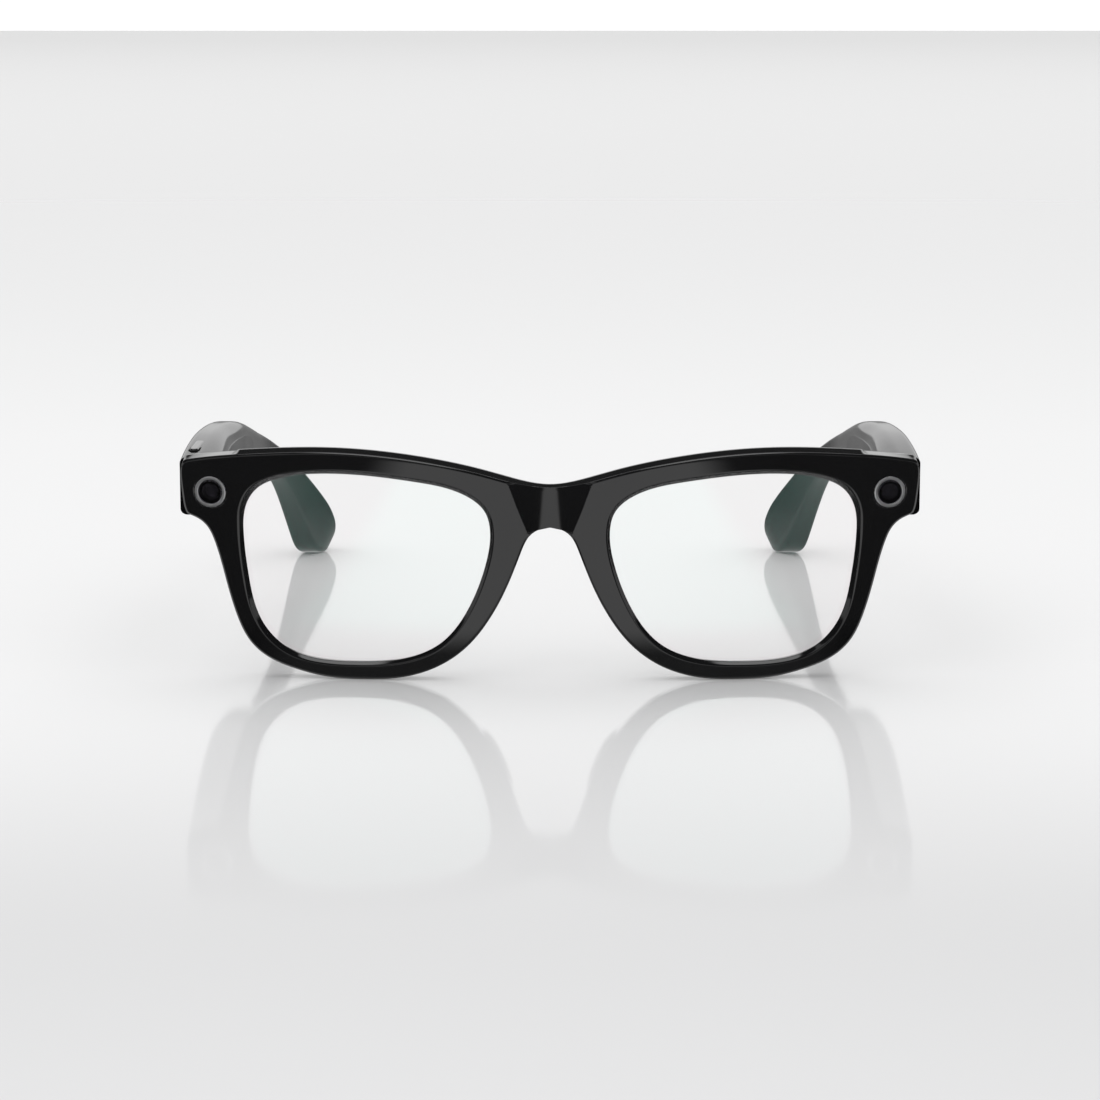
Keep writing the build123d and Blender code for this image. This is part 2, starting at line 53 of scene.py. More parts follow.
# The frame's own layout, in millimetres, as the engineering model has it
FACE_FORM_R = 432.0
FRONT_TILT = math.radians(5.0)
FRONT_DROP = 0.11
Y_CENTRE = 75.495
TOP_EDGE = [
    (0, 39.2), (7.8, 40.6), (14.0, 42.3), (23.4, 44.25), (32.85, 45.5), (43.4, 46.05), (59.2, 45.3),
    (71.1, 43.75),
]
END_EDGE = [(71.8, 43.5), (72.2, 42.9), (72.5, 40.1), (72.2, 36.3), (71.75, 33.7), (71.4, 33.0)]
LOWER_EDGE = [
    (70.7, 32.6), (69.0, 31.8), (67.4, 30.3), (66.3, 28.1), (65.4, 25.3), (63.8, 18.8), (61.95, 12.3),
    (59.45, 7.2), (55.9, 4.05), (50.75, 1.9), (44.4, 0.4), (37.0, 0.05), (30.0, 0.5), (22.1, 3.0),
    (16.6, 6.9), (11.5, 13.5), (8.15, 20.1), (5.65, 26.55), (3.45, 30.3), (1.6, 31.2), (0, 31.4),
]
APERTURE = [
    (45.1, 41.6), (53.1, 40.4), (57.7, 38.0), (59.8, 34.5), (60.3, 29.5), (59.5, 20.6), (56.8, 10.9),
    (52.2, 6.1), (38.75, 3.55), (29.15, 4.35), (22.05, 7.35), (15.9, 15.15), (12.9, 22.8), (11.7, 29.8),
    (12.7, 34.4), (16.2, 37.5), (26.4, 40.3), (36.55, 41.45),
]
# Which point of the rim's inner edge faces which point of its outer edge
FACING = [
    ((0, 39.2), (12.5, 34.1)), ((10.9, 41.3), (15.3, 37.2)), ((23.4, 44.25), (26.4, 40.6)),
    ((43.4, 46.05), (43.0, 41.9)), ((59.2, 45.3), (54.9, 40.0)), ((72.0, 43.4), (58.5, 37.3)),
    ((71.9, 34.4), (60.1, 32.7)), ((67.4, 30.3), (60.3, 29.1)), ((63.8, 18.8), (59.2, 19.4)),
    ((55.9, 4.05), (54.1, 7.6)), ((37.0, 0.05), (38.75, 3.55)), ((16.6, 6.9), (19.4, 10.1)),
    ((8.15, 20.1), (13.4, 21.3)), ((3.45, 30.3), (11.8, 27.7)), ((0, 31.4), (11.7, 29.1)),
]
MODULE_AT = (66.65, 37.5)
MITRE_X, MITRE_Y, MITRE_SLOPE = 66.0, 12.0, 8.1 / 9.2
TEMPLE_TOP = [
    (3.0, 43.8), (15, 44.2), (40, 44.3), (57, 43.5), (69, 42.7), (81, 41.2), (93, 38.7), (105, 35.8),
    (124, 29.7), (139, 21.7), (149, 13.3), (153.6, 7.5),
]
TIP_END = [(154.4, 4.2), (152.6, 1.2), (149.0, 0.0)]
TIP_AT = (152.9, 1.5)                     # where the temple's top edge turns into its bottom edge
TEMPLE_LOW = [
    (145.6, 1.0), (141.5, 5.5), (135, 13.7), (125, 22.4), (115, 26.6), (105, 27.8), (95, 26.6),
    (85, 25.0), (75, 24.4), (55, 25.5), (35, 27.9), (20, 30.4), (3.0, 32.9),
]
# Which point of the temple's top edge stands over which point of its bottom edge
TEMPLE_FACING = [
    ((3.0, 43.8), (3.0, 32.9)), ((12, 44.15), (12, 31.6)), ((81, 41.2), (81, 24.7)),
    ((105, 35.8), (103, 27.7)), ((124, 29.7), (117.5, 25.8)), ((139, 21.7), (131.0, 17.6)),
    ((149, 13.3), (140.8, 6.5)), ((153.6, 7.5), (145.2, 1.3)), (TIP_AT, TIP_AT),
]
TEMPLE_OUTER = [
    (72.3, 3.0), (73.2, 14), (74.1, 35), (74.4, 50), (74.1, 69), (73.1, 81), (71.1, 100), (69.1, 115),
    (66.1, 130), (63.0, 143), (60.5, 150), (58.9, 154.6),
]
TEMPLE_INNER = [
    (65.9, 3.0), (65.9, 16), (66.1, 25), (66.5, 35), (67.1, 50), (67.1, 69), (67.0, 81), (66.4, 100),
    (65.3, 115), (62.1, 130), (57.6, 143), (54.3, 150), (52.4, 154.6),
]
HINGE_WINDOW = (0.0, 17.4, 32.3, 42.0)   # y from, y to, z from, z to, of the knuckles' recess
SEAM_Y = 116.5                            # where the ear section's joint crosses the top edge
BUTTON_AT = (71.1, 19.5)
BUTTON_LENGTH, BUTTON_WIDTH = 12.6, 1.7
BRIDGE_TOP, BRIDGE_LOW = 39.2, 31.4
TIP_FROM, TIP_SHARE = 0.955, 0.045        # where the rounded tip starts along the top edge, and its share
WINDOW_DEPTH = 1.75                       # how deep the knuckles' recess goes into the inner face
JOINT_START, JOINT_FADE = 12.0, 24.0      # y of the first upright rib, and how far behind it ribs still lean
JOINT_BACK, JOINT_SHIFT = 0.3, 0.1        # how far the temple's joint face stays off the front's, in y and x
PANEL_MIDDLE, PANEL_HALF = 60.0, 29.9     # y of the inner panel's middle, and half its length
PANEL_DROP, PANEL_LIFT = 3.2, 1.5         # how far the panel stays from the temple's top and bottom edges
SLIT_TOP = 44.25                          # height of the slit round the capture button
RIM_THICKNESS = 5.0
EDGE_SOFT = 0.05                          # radius that softens the chamfers' creases
SEAT_RADIUS, SEAT_DEPTH = 2.98, 1.35      # the camera modules' seats in the face
HOLLOW_LOW, HOLLOW_TOP = 0.81, 1.70       # depth of the bridge's hollow at its lower and upper edges
HOLLOW_HALF, HOLLOW_SLOPE, HOLLOW_ROUND = 2.5, 0.31, 1.1     # its half width, and how it runs out beside
# How far the front's first rings lie from the outer edge, and its last rings from the opening
EDGE_STEPS = np.array([0, 0.05, 0.11, 0.18, 0.26, 0.35, 0.45, 0.58, 0.74, 0.95])
OPENING_STEPS = np.array([0, 0.05, 0.11, 0.18, 0.28, 0.4, 0.55, 0.72, 0.92, 1.15])
LENS_MIDDLE = np.array([36.3, 22.6])
LENS_DEPTH, LENS_TUCK, LENS_BOW = 1.9, 0.55, 1.35            # behind the face, in behind the rim, and bow
PAD_MIDDLE, PAD_DEPTH = (11.9, 17.8), 3.4
PAD_WIDTH, PAD_HEIGHT, PAD_SWELL = 2.3, 7.4, 3.1      # each is half of the pad's own measure
PAD_LEAN, PAD_SPLAY = math.radians(24), math.radians(14)
MERGE_DISTANCE = 2e-6                     # metres
# The stage: the camera and the floor are in metres, and the lens and its sensor in millimetres
CAMERA_DISTANCE, CAMERA_HEIGHT, CAMERA_DROP = 0.584, 0.1287, math.radians(9.93)
CAMERA_LENS, CAMERA_SENSOR = 98.93, 36.0
FLOOR_HALF = 40.0


# ---------------------------------------------------------------- curves and grids

def cubic(knots, values, at, closed=False):
    """Cubic through the values at the knots: second derivatives solve the usual smoothness equations."""
    knots, values, at = (np.asarray(a, float) for a in (knots, values, at))
    if closed:
        overlap = 3
        period = knots[-1] - knots[0]
        knots = np.concatenate([knots[-1 - overlap:-1] - period, knots, knots[1:1 + overlap] + period])
        values = np.concatenate([values[-1 - overlap:-1], values, values[1:1 + overlap]])
    gap = np.diff(knots)
    slope = np.diff(values, axis=0) / gap[:, None]
    count = len(knots)
    system = np.eye(count)
    inner = np.arange(1, count - 1)
    system[inner, inner - 1] = gap[:-1]
    system[inner, inner] = 2 * (gap[:-1] + gap[1:])
    system[inner, inner + 1] = gap[1:]
    right = np.zeros_like(values)
    right[1:-1] = 6 * np.diff(slope, axis=0)
    bend = np.linalg.solve(system, right)
    span = np.clip(np.searchsorted(knots, at, side="right") - 1, 0, count - 2)
    width = gap[span][:, None]
    near = (at - knots[span])[:, None] / width
    far = 1 - near
    return (far * values[span] + near * values[span + 1]
            + width**2 / 6 * ((far**3 - far) * bend[span] + (near**3 - near) * bend[span + 1]))


def running_length(points):
    """Length along a line of points up to each of them."""
    return np.concatenate([[0], np.cumsum(np.linalg.norm(np.diff(points, axis=0), axis=1))])


def curve(points, count, closed=False):
    """Smooth line through the points, evenly spaced by length. Its parameter is the length of the chords."""
    points = np.asarray(points, float)
    if closed:
        points = np.vstack([points, points[:1]])
    knots = running_length(points)
    fineness = 20
    dense = cubic(knots, points, np.linspace(0, knots[-1], fineness * count), closed)
    run = running_length(dense)
    wanted = np.linspace(0, run[-1], count)
    return np.stack([np.interp(wanted, run, dense[:, axis]) for axis in range(2)], axis=1)


def lengths(points):
    """Running length along a line of points, from 0 to 1, and the whole length."""
    run = running_length(points)
    return run / run[-1], run[-1]


def along(points, fractions):
    """Points at fractions of a line's length."""
    run, _ = lengths(points)
    return np.stack([np.interp(fractions, run, points[:, axis]) for axis in range(points.shape[1])], axis=-1)


def nearest(points, target):
    """Which of the points lies nearest to the target."""
    return int(np.argmin(np.linalg.norm(points - np.asarray(target, float), axis=1)))


def nearest_fraction(points, target):
    """How far along a line of points the target lies, from 0 to 1."""
    run, _ = lengths(points)
    return run[nearest(points, target)]


def soft_max(a, b, radius):
    """The larger of two fields, with a fillet of about the radius where they cross."""
    return 0.5 * (a + b + np.sqrt((a - b) ** 2 + radius**2))


def soft_step(value, low, high):
    """0 below low, 1 above high, and a smooth S between."""
    t = np.clip((value - low) / (high - low), 0, 1)
    return t * t * (3 - 2 * t)


def grid_quads(rows, columns, wrap_rows=False, wrap_columns=False, start=0):
    """Quads of a grid of rows x columns points stored row by row."""
    r = np.arange(rows if wrap_rows else rows - 1)
    c = np.arange(columns if wrap_columns else columns - 1)
    r, c = np.meshgrid(r, c, indexing="ij")
    r2, c2 = (r + 1) % rows, (c + 1) % columns
    quads = np.stack([r * columns + c, r * columns + c2, r2 * columns + c2, r2 * columns + c], axis=-1)
    return quads.reshape(-1, 4) + start


class Surface:
    """Collects grids of points, in millimetres in the glasses' own layout, and makes one closed mesh."""

    def __init__(self):
        self.points, self.quads, self.count = [], [], 0

    def add(self, grid, wrap_rows=False, wrap_columns=False):
        """Takes a grid of points, rows by columns, that may join up with itself either way."""
        rows, columns = grid.shape[:2]
        self.points.append(grid.reshape(-1, 3))
        self.quads.append(grid_quads(rows, columns, wrap_rows, wrap_columns, self.count))
        self.count += rows * columns
        return self

    def mirror(self):
        """Adds every grid again on the other side of x = 0, with its faces turned round."""
        flip = np.array([-1.0, 1.0, 1.0])
        self.points += [points * flip for points in self.points]
        self.quads += [quads[:, ::-1] + self.count for quads in self.quads]
        self.count *= 2
        return self

    def finish(self, name, material, body, slot, replaced=(), sharp=None):
        """Joins the grids into one mesh with its faces outwards, hangs it under its body and hides the
        engineering parts it replaces.
        """
        points = np.vstack(self.points) * MM
        points[:, 1] -= Y_CENTRE * MM
        points, faces = weld(points, np.vstack(self.quads), MERGE_DISTANCE)
        mesh = bpy.data.meshes.new(name)
        mesh.from_pydata(points.tolist(), [], faces)
        mesh.validate()
        piece = bpy.data.objects.new(name, mesh)
        bpy.context.scene.collection.objects.link(piece)
        work = bmesh.new()
        work.from_mesh(mesh)
        bmesh.ops.recalc_face_normals(work, faces=work.faces)
        work.to_mesh(mesh)
        work.free()
        mesh.shade_smooth()
        if sharp:
            mesh.set_sharp_from_angle(angle=math.radians(sharp))
        mesh.materials.append(material)
        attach(piece, body)
        if replaced:
            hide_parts(*replaced)
        return piece


def weld(points, quads, distance):
    """Joins points that round to the same place at this spacing, and drops faces that close up."""
    keys = np.round(points / distance).astype(np.int64)
    _, first, index = np.unique(keys, axis=0, return_index=True, return_inverse=True)
    joined = index.reshape(-1)[quads]
    same = joined == np.roll(joined, -1, axis=1)
    whole = joined[~same.any(axis=1)]
    whole = whole[(whole[:, 0] != whole[:, 2]) & (whole[:, 1] != whole[:, 3])]
    pinched = same.sum(axis=1) == 1
    triangles = joined[pinched][~same[pinched]].reshape(-1, 3)
    return points[first], whole.tolist() + triangles.tolist()


def on_front(x, z, y):
    """From the front's upright layout to its place: leant forward about the ground line."""
    cos, sin = math.cos(FRONT_TILT), math.sin(FRONT_TILT)
    return np.stack([x, y * cos - z * sin, y * sin + z * cos - FRONT_DROP], axis=-1)


def layer_y(x, depth):
    """How far back the cylinder a given depth behind the front face lies at x."""
    return FACE_FORM_R - np.sqrt((FACE_FORM_R - depth) ** 2 - x**2)


# ---------------------------------------------------------------- the front

def near_line(points, line, allowed, reach=14):
    """Distance from each grid point to the line's allowed stretches, up to reach columns to either side."""
    far_away, shortest = 1e3, 1e-12
    best = np.full(points.shape[:2], far_away)
    for shift in range(-reach, reach + 1):
        a = np.roll(line, -shift, axis=0)
        b = np.roll(line, -shift - 1, axis=0)
        usable = np.roll(allowed, -shift)
        step = b - a
        size = np.maximum((step**2).sum(axis=1), shortest)
        t = np.clip(((points - a) * step).sum(axis=2) / size, 0, 1)
        gap = np.linalg.norm(points - a - t[..., None] * step, axis=2)
        best = np.where(usable, np.minimum(best, gap), best)
    return best


def rim_columns():
    """Matching points on the outer and inner edges of one half of the front, round one lens."""
    own_half = TOP_EDGE + END_EDGE + LOWER_EDGE
    before = [(-x, z) for x, z in TOP_EDGE[3:0:-1]]
    after = [(-x, z) for x, z in LOWER_EDGE[-2:-5:-1]]
    outline = curve(before + own_half + after, 3000)
    outline = outline[nearest(outline, TOP_EDGE[0]):nearest(outline, LOWER_EDGE[-1]) + 1]
    outline[0], outline[-1] = TOP_EDGE[0], LOWER_EDGE[-1]
    opening = curve(APERTURE, 1600, closed=True)
    run, whole = lengths(outline)
    # closer columns round the end piece, where the camera module is, and a gradual change between
    end_x, end_z, fine, plain, blur = 58.5, 29.0, 0.30, 0.75, 40
    spacing = np.where((outline[:, 0] > end_x) & (outline[:, 1] > end_z), fine, plain)
    window = 2 * blur + 1
    spacing = np.convolve(np.pad(spacing, blur, mode="edge"), np.ones(window) / window, mode="valid")
    travel = np.concatenate([[0], np.cumsum(np.diff(run) * whole / spacing[1:])])
    fractions = np.interp(np.linspace(0, travel[-1], int(travel[-1])), travel, run)
    fractions[0], fractions[-1] = 0, 1
    edge = along(outline, fractions)
    # up the middle of the bridge, in closer steps near its two edges
    steps = np.array([0.06, 0.13, 0.22, 0.33, 0.46, 0.62, 0.85])
    height = BRIDGE_TOP - BRIDGE_LOW
    middle = np.linspace(steps[-1], height - steps[-1], 12)[1:-1]
    rise = np.concatenate([steps, middle, (height - steps)[::-1]])
    centre = np.stack([np.zeros_like(rise), BRIDGE_LOW + rise], axis=1)
    # the inner edge's matching places, as lengths run backwards round the opening from the first
    start = nearest_fraction(opening, FACING[0][1])
    own, facing = [], []
    for outer_point, inner_point in FACING:
        own.append(nearest_fraction(outline, outer_point))
        facing.append((nearest_fraction(opening, inner_point) - start) % 1.0)
    own[0], own[-1] = 0.0, 1.0
    facing[0] = 0.0
    matched = np.interp(fractions, own, facing)
    on_centre = facing[-1] + (1.0 - facing[-1]) * rise / height
    inner = along(opening, (np.concatenate([matched, on_centre]) + start) % 1.0)
    outer = np.vstack([edge, centre])
    real = np.concatenate([np.ones(len(edge) - 1, bool), np.zeros(len(rise) + 1, bool)])
    return outer, inner, real, len(edge)


def slope_in(distance, width, steepness=1.0):
    """Depth of a chamfer: greatest at its edge, nothing at its width."""
    return steepness * width * (1 - distance / width)


def front_face(sizes, flat, outer, inner, real):
    """The face: depth is the softened largest of a flat face, a chamfer that grows towards each edge,
    the bridge's hollow and the camera modules' seats."""
    x, z = flat[..., 0], flat[..., 1]
    to_outer = near_line(flat, outer, real)
    to_inner = near_line(flat, inner, np.ones(len(inner), bool))
    # the chamfer narrows a little along the top, and the bevel widens outwards and upwards
    top = soft_step(outer[:, 1], 36.0, 40.0) * soft_step(73.6 - outer[:, 0], 0.0, 1.5)
    chamfer = sizes.edge_chamfer / MM * (1 - 0.15 * top)
    outwards, upwards = soft_step(inner[:, 0], 45, 60), soft_step(inner[:, 1], 30, 38)
    bevel = sizes.opening_bevel / MM * (0.75 + 0.35 * outwards + 0.25 * upwards)
    bevel_steepness = 1.1
    depth = soft_max(np.zeros_like(x), slope_in(to_outer, chamfer), EDGE_SOFT)
    depth = soft_max(depth, slope_in(to_inner, bevel, bevel_steepness), EDGE_SOFT)
    deepest = HOLLOW_LOW + (HOLLOW_TOP - HOLLOW_LOW) * (z - BRIDGE_LOW) / (BRIDGE_TOP - BRIDGE_LOW)
    beside = np.logaddexp(0, (np.abs(x) - HOLLOW_HALF) / HOLLOW_ROUND)
    hollow = deepest - HOLLOW_SLOPE * HOLLOW_ROUND * beside
    hollow_floor, hollow_soft = -2, 0.03
    depth = soft_max(depth, np.maximum(hollow, hollow_floor), hollow_soft)
    from_module = np.hypot(x - MODULE_AT[0], z - MODULE_AT[1])
    depth = np.where(from_module < SEAT_RADIUS, SEAT_DEPTH, depth)
    return on_front(x, z, layer_y(x, depth))


def front_back(sizes, flat, outer, opened, real):
    """The back: the rim's thickness, deepened at the end piece as far as the slanted joint with the
    temple, with a small rounding along both edges."""
    x, z = flat[..., 0], flat[..., 1]
    to_outer = near_line(flat, outer, real)
    to_inner = near_line(flat, opened, np.ones(len(opened), bool))
    cos, sin = math.cos(FRONT_TILT), math.sin(FRONT_TILT)
    plain = layer_y(x, RIM_THICKNESS)
    block = (MITRE_Y + z * sin) / cos
    mitre = (MITRE_Y - MITRE_SLOPE * (x - MITRE_X) + z * sin) / cos
    in_block = soft_step(x, 61.2, 62.4) * soft_step(z, 30.0, 31.4)
    rear = plain + (block - plain) * in_block
    mitre_soft = 0.12
    rear = -soft_max(-rear, -mitre, mitre_soft)
    rounding = sizes.edge_chamfer / MM * 0.8
    trims = [soft_max(np.zeros_like(x), slope_in(gap, rounding), EDGE_SOFT) for gap in (to_outer, to_inner)]
    rear = rear - np.maximum(*trims)
    # the end piece's top comes down towards the temple
    fall = 0.26
    return on_front(x, z - fall * (rear - plain) * soft_step(z, 36.0, 43.0), rear)


def wall(upper, lower, steps):
    """Straight lines between two edges."""
    mix = np.linspace(0, 1, steps)[:, None, None]
    return upper * (1 - mix) + lower * mix


def build_front(sizes, material):
    """The front as two height fields, face and back, over a grid of rings between each rim's two edges.

    Walls join the two fields round the opening and along the real outline, and the other half is the
    same grid, mirrored. The opening is a little wider at the back, low down and towards the temples.
    """
    outer, inner, real, edge_count = rim_columns()
    length = np.linalg.norm(inner - outer, axis=1)
    first = EDGE_STEPS[:, None] / length
    last = 1 - OPENING_STEPS[::-1][:, None] / length

    def rings(stride, count):
        middle = first[-1] + (last[0] - first[-1]) * np.linspace(0, 1, count)[1:-1, None]
        return np.concatenate([first[::stride], middle, last[::stride]])[..., None]

    face = front_face(sizes, outer + rings(1, 34) * (inner - outer), outer, inner, real)
    from_middle = inner - LENS_MIDDLE
    wide_low = 0.75 * soft_step(-from_middle[:, 1], -4.0, 12.0)
    wide_side = 0.5 * soft_step(from_middle[:, 0], 8.0, 20.0)
    away = from_middle / np.linalg.norm(from_middle, axis=1, keepdims=True)
    opened = inner + away * np.maximum(wide_low, wide_side)[:, None]
    back = front_back(sizes, outer + rings(2, 22) * (opened - outer), outer, opened, real)
    skin = Surface().add(face, wrap_columns=True)
    skin.add(wall(face[-1], back[-1], 8), wrap_columns=True)
    skin.add(back, wrap_columns=True)
    skin.add(wall(face[0, :edge_count], back[0, :edge_count], 9))
    return skin.mirror().finish("front_rims_and_bridge", material, "front", "frame_plastic", ("front_frame",))


def build_lens(side, name, material, thickness):
    """A lens as rings that shrink from the opening's outline to its middle, on two bowed faces."""
    edge = curve(APERTURE, 220, closed=True)[:-1]
    outward = edge - LENS_MIDDLE
    edge = edge + outward / np.linalg.norm(outward, axis=1, keepdims=True) * LENS_TUCK
    rings = 1 - np.linspace(0, 1, 40)
    flat = LENS_MIDDLE + rings[:, None, None] * (edge - LENS_MIDDLE)
    x, z = flat[..., 0], flat[..., 1]
    half_width, half_height = 24.8, 19.3
    across, upward = (x - LENS_MIDDLE[0]) / half_width, (z - LENS_MIDDLE[1]) / half_height
    bow = LENS_BOW * (1 - across ** 2 * 0.62 - upward ** 2 * 0.38)
    front = on_front(x, z, layer_y(x, LENS_DEPTH) - bow)
    back = on_front(x, z, layer_y(x, LENS_DEPTH + thickness / MM) - bow)
    for grid in (front, back):
        grid[..., 0] *= side
    rim = np.stack([front[0], back[0]])
    skin = Surface().add(front, wrap_columns=True).add(rim, wrap_columns=True).add(back, wrap_columns=True)
    piece = skin.finish(name + "_clear_lens", material, "front", "clear_lens", (name + "_lens",), sharp=40)
    piece.visible_shadow = False
    return piece


def module_frame(side):
    """Centre and three directions of a camera module: across, up and out of the face."""
    x, z = MODULE_AT
    lean = math.asin(x / FACE_FORM_R)
    cos, sin = math.cos(FRONT_TILT), math.sin(FRONT_TILT)
    centre = on_front(np.array(x), np.array(z), layer_y(np.array(x), 0.0))
    directions = ((math.cos(lean), math.sin(lean), 0), (0, 0, 1), (math.sin(lean), -math.cos(lean), 0))
    turned_ones = [np.array([v[0], v[1] * cos - v[2] * sin, v[1] * sin + v[2] * cos]) for v in directions]
    flip = np.array([side, 1, 1])
    return [v * flip for v in (centre, *turned_ones)]


def turned(side, profile, count=96):
    """A profile of radius and height carried round a camera module's axis."""
    centre, across, up, out = module_frame(side)
    profile = np.asarray(profile, float)
    angle = np.linspace(0, 2 * math.pi, count, endpoint=False)
    ring = np.cos(angle)[:, None] * across + np.sin(angle)[:, None] * up
    return centre + profile[:, 0][:, None, None] * ring[None] + profile[:, 1][:, None, None] * out


def build_module(side, name, materials):
    """A camera module as four turned profiles: bezel ring, cover glass, lens holder and front element."""
    ring = [(2.45, -1.1), (2.45, -0.05), (2.47, 0.03), (2.52, 0.09), (2.60, 0.12), (2.92, 0.12), (3.03, 0.09),
            (3.09, 0.03), (3.12, -0.05), (3.12, -1.1)]
    Surface().add(turned(side, ring), wrap_rows=True, wrap_columns=True).finish(
        name + "_camera_bezel", materials["ring"], "front", "camera_ring_metal", (name + "_camera_ring",))
    window = [(0, -0.62), (1.2, -0.62), (2.44, -0.62), (2.44, -0.20), (2.42, -0.16), (2.2, -0.15),
              (1.2, -0.14), (0, -0.14)]
    Surface().add(turned(side, window), wrap_columns=True).finish(
        name + "_camera_cover_glass", materials["window"], "front", "camera_window_glass",
        (name + "_camera_window",))
    barrel = [(0, -1.32), (2.43, -1.32), (2.43, -0.72), (2.28, -0.70), (2.22, -0.85), (2.05, -0.86),
              (1.98, -0.74), (1.72, -0.72), (1.62, -0.9), (1.45, -1.0), (1.30, -1.22), (0, -1.24)]
    Surface().add(turned(side, barrel), wrap_columns=True).finish(
        name + "_camera_lens_holder", materials["barrel"], "front", "camera_body",
        (name + "_camera_barrel",), sharp=30)
    radius, foot, shoulder, dome = 1.28, -1.23, -1.12, 0.40
    element = [(0, foot), (radius, foot), (radius, shoulder)]
    for a in np.linspace(0.1, math.pi / 2, 9):
        element.append((radius * math.cos(a), shoulder + dome * math.sin(a)))
    element[-1] = (0, element[-1][1])
    Surface().add(turned(side, element), wrap_columns=True).finish(
        name + "_camera_front_element", materials["element"], "front", "camera_lens_glass",
        (name + "_camera_lens",))


def build_pad(side, name, material):
    """A nose pad: a flattened oval cap that swells out of the back of the rim and leans with the nose."""
    u = np.linspace(0, math.pi, 36)[:, None]
    v = np.linspace(0, 2 * math.pi, 64, endpoint=False)[None]
    squareness, fullness = 0.8, 0.9
    px = PAD_WIDTH * np.sign(np.cos(v)) * np.abs(np.cos(v)) ** squareness * np.sin(u) ** fullness
    pz = PAD_HEIGHT * np.sign(np.sin(v)) * np.abs(np.sin(v)) ** squareness * np.sin(u) ** fullness
    py = PAD_SWELL - PAD_SWELL * np.cos(u) + 0 * v
    qx = px * math.cos(PAD_SPLAY) - py * math.sin(PAD_SPLAY)
    qy = px * math.sin(PAD_SPLAY) + py * math.cos(PAD_SPLAY)
    x = PAD_MIDDLE[0] + (qx * math.cos(PAD_LEAN) - pz * math.sin(PAD_LEAN))
    z = PAD_MIDDLE[1] + (qx * math.sin(PAD_LEAN) + pz * math.cos(PAD_LEAN))
    grid = on_front(x, z, layer_y(x, PAD_DEPTH) + qy)
    grid[..., 0] *= side
    Surface().add(grid, wrap_columns=True).finish(
        name + "_nose_rest", material, "front", "nose_pad_plastic", (name + "_nose_pad",))


# ---------------------------------------------------------------- the temples

def temple_lines():
    """The temple's top and bottom edges in side view, from the hinge to the tip, matched rib by rib."""
    outline = curve(TEMPLE_TOP + TIP_END + TEMPLE_LOW, 3000)
    split = nearest(outline, TIP_AT)
    top, low = outline[:split + 1], outline[split:][::-1]
    own = [nearest_fraction(top, a) for a, _ in TEMPLE_FACING]
    other = [nearest_fraction(low, b) for _, b in TEMPLE_FACING]
    own[-1] = other[-1] = 1.0
    return top, low, own, other


def edge_heights(y, top, low):
    """Heights of the temple's top and bottom edges at y, from the parts of the lines that run backwards."""
    top, low = top[:1800], low[:1500]
    return np.interp(y, top[:, 0], top[:, 1]), np.interp(y, low[:, 0], low[:, 1])


def temple_plan(y):
    """How far out the temple's inner and outer faces lie at y."""
    lines = [curve([point[::-1] for point in points], 600) for points in (TEMPLE_INNER, TEMPLE_OUTER)]
    return [np.interp(y, line[:, 0], line[:, 1]) for line in lines]


def joint_face(x):
    """How far back the temple's slanted joint face lies at x."""
    return MITRE_Y + JOINT_BACK - MITRE_SLOPE * (x - MITRE_X - JOINT_SHIFT)


def temple_grid(stations):
    """Ribs between the bottom and top edges, each carrying a rectangle with rounded corners.

    stations are fractions along the top edge. Near the end less and less of each rib's thickness is left,
    so that the tip closes to a rounded end. The first ribs swing onto the slanted joint face. The top
    inner corner is rounder than the others as far as the ear section.
    """
    top, low, own, other = temple_lines()
    t = along(top, stations)
    b = along(low, np.interp(stations, own, other))
    half = 0.5 * np.linalg.norm(t - b, axis=1)
    inside, outside = temple_plan(0.5 * (t + b)[:, 0])
    end = np.clip((stations - TIP_FROM) / TIP_SHARE, 0, 1)
    thinnest, widest = 0.001, 0.999
    left = np.sqrt(np.maximum(1 - end**2, 0)) * widest + thinnest
    wide, high = (outside - inside) / 2, np.maximum(half, 1e-4)
    largest = np.minimum(wide, high) * 0.98
    radius = np.minimum(1.3 - 0.4 * soft_step(stations, 0.62, 0.78), largest)
    domed = np.minimum(radius + 2.4 * (1 - soft_step(stations, 0.5, 0.7)), largest)
    arc = np.linspace(0, math.pi / 2, 8)
    corners = []
    for sx, sz, start, r in ((1, 1, 0, radius), (-1, 1, math.pi / 2, domed),
                             (-1, -1, math.pi, radius), (1, -1, 1.5 * math.pi, radius)):
        corners.append((sx * (wide - r)[:, None] + r[:, None] * np.cos(start + arc),
                        sz * (high - r)[:, None] + r[:, None] * np.sin(start + arc)))
    long_side, short_side = np.linspace(0, 1, 30)[1:-1], np.linspace(0, 1, 16)[1:-1]
    across, upward = [], []
    for index, (cx, cz) in enumerate(corners):
        nx, nz = corners[(index + 1) % 4]
        steps = short_side if index % 2 == 0 else long_side
        across += [cx, cx[:, -1:] + (nx[:, :1] - cx[:, -1:]) * steps]
        upward += [cz, cz[:, -1:] + (nz[:, :1] - cz[:, -1:]) * steps]
    w = 0.5 + 0.5 * np.concatenate(across, axis=1) / wide[:, None] * left[:, None]
    v = 0.5 + 0.5 * np.concatenate(upward, axis=1) / high[:, None]
    side_view = b[:, None] + (t - b)[:, None] * v[..., None]
    y, z = side_view[..., 0], side_view[..., 1]
    inside, outside = temple_plan(y)
    x = inside + (outside - inside) * w
    fade = np.clip(1 - (y - JOINT_START) / JOINT_FADE, 0, 1) ** 2
    moved = y + fade * (joint_face(x) - JOINT_START)
    z_top, z_low = edge_heights(moved, top, low)
    return x, moved, np.where(fade > 0, z_low + (z_top - z_low) * v, z), w


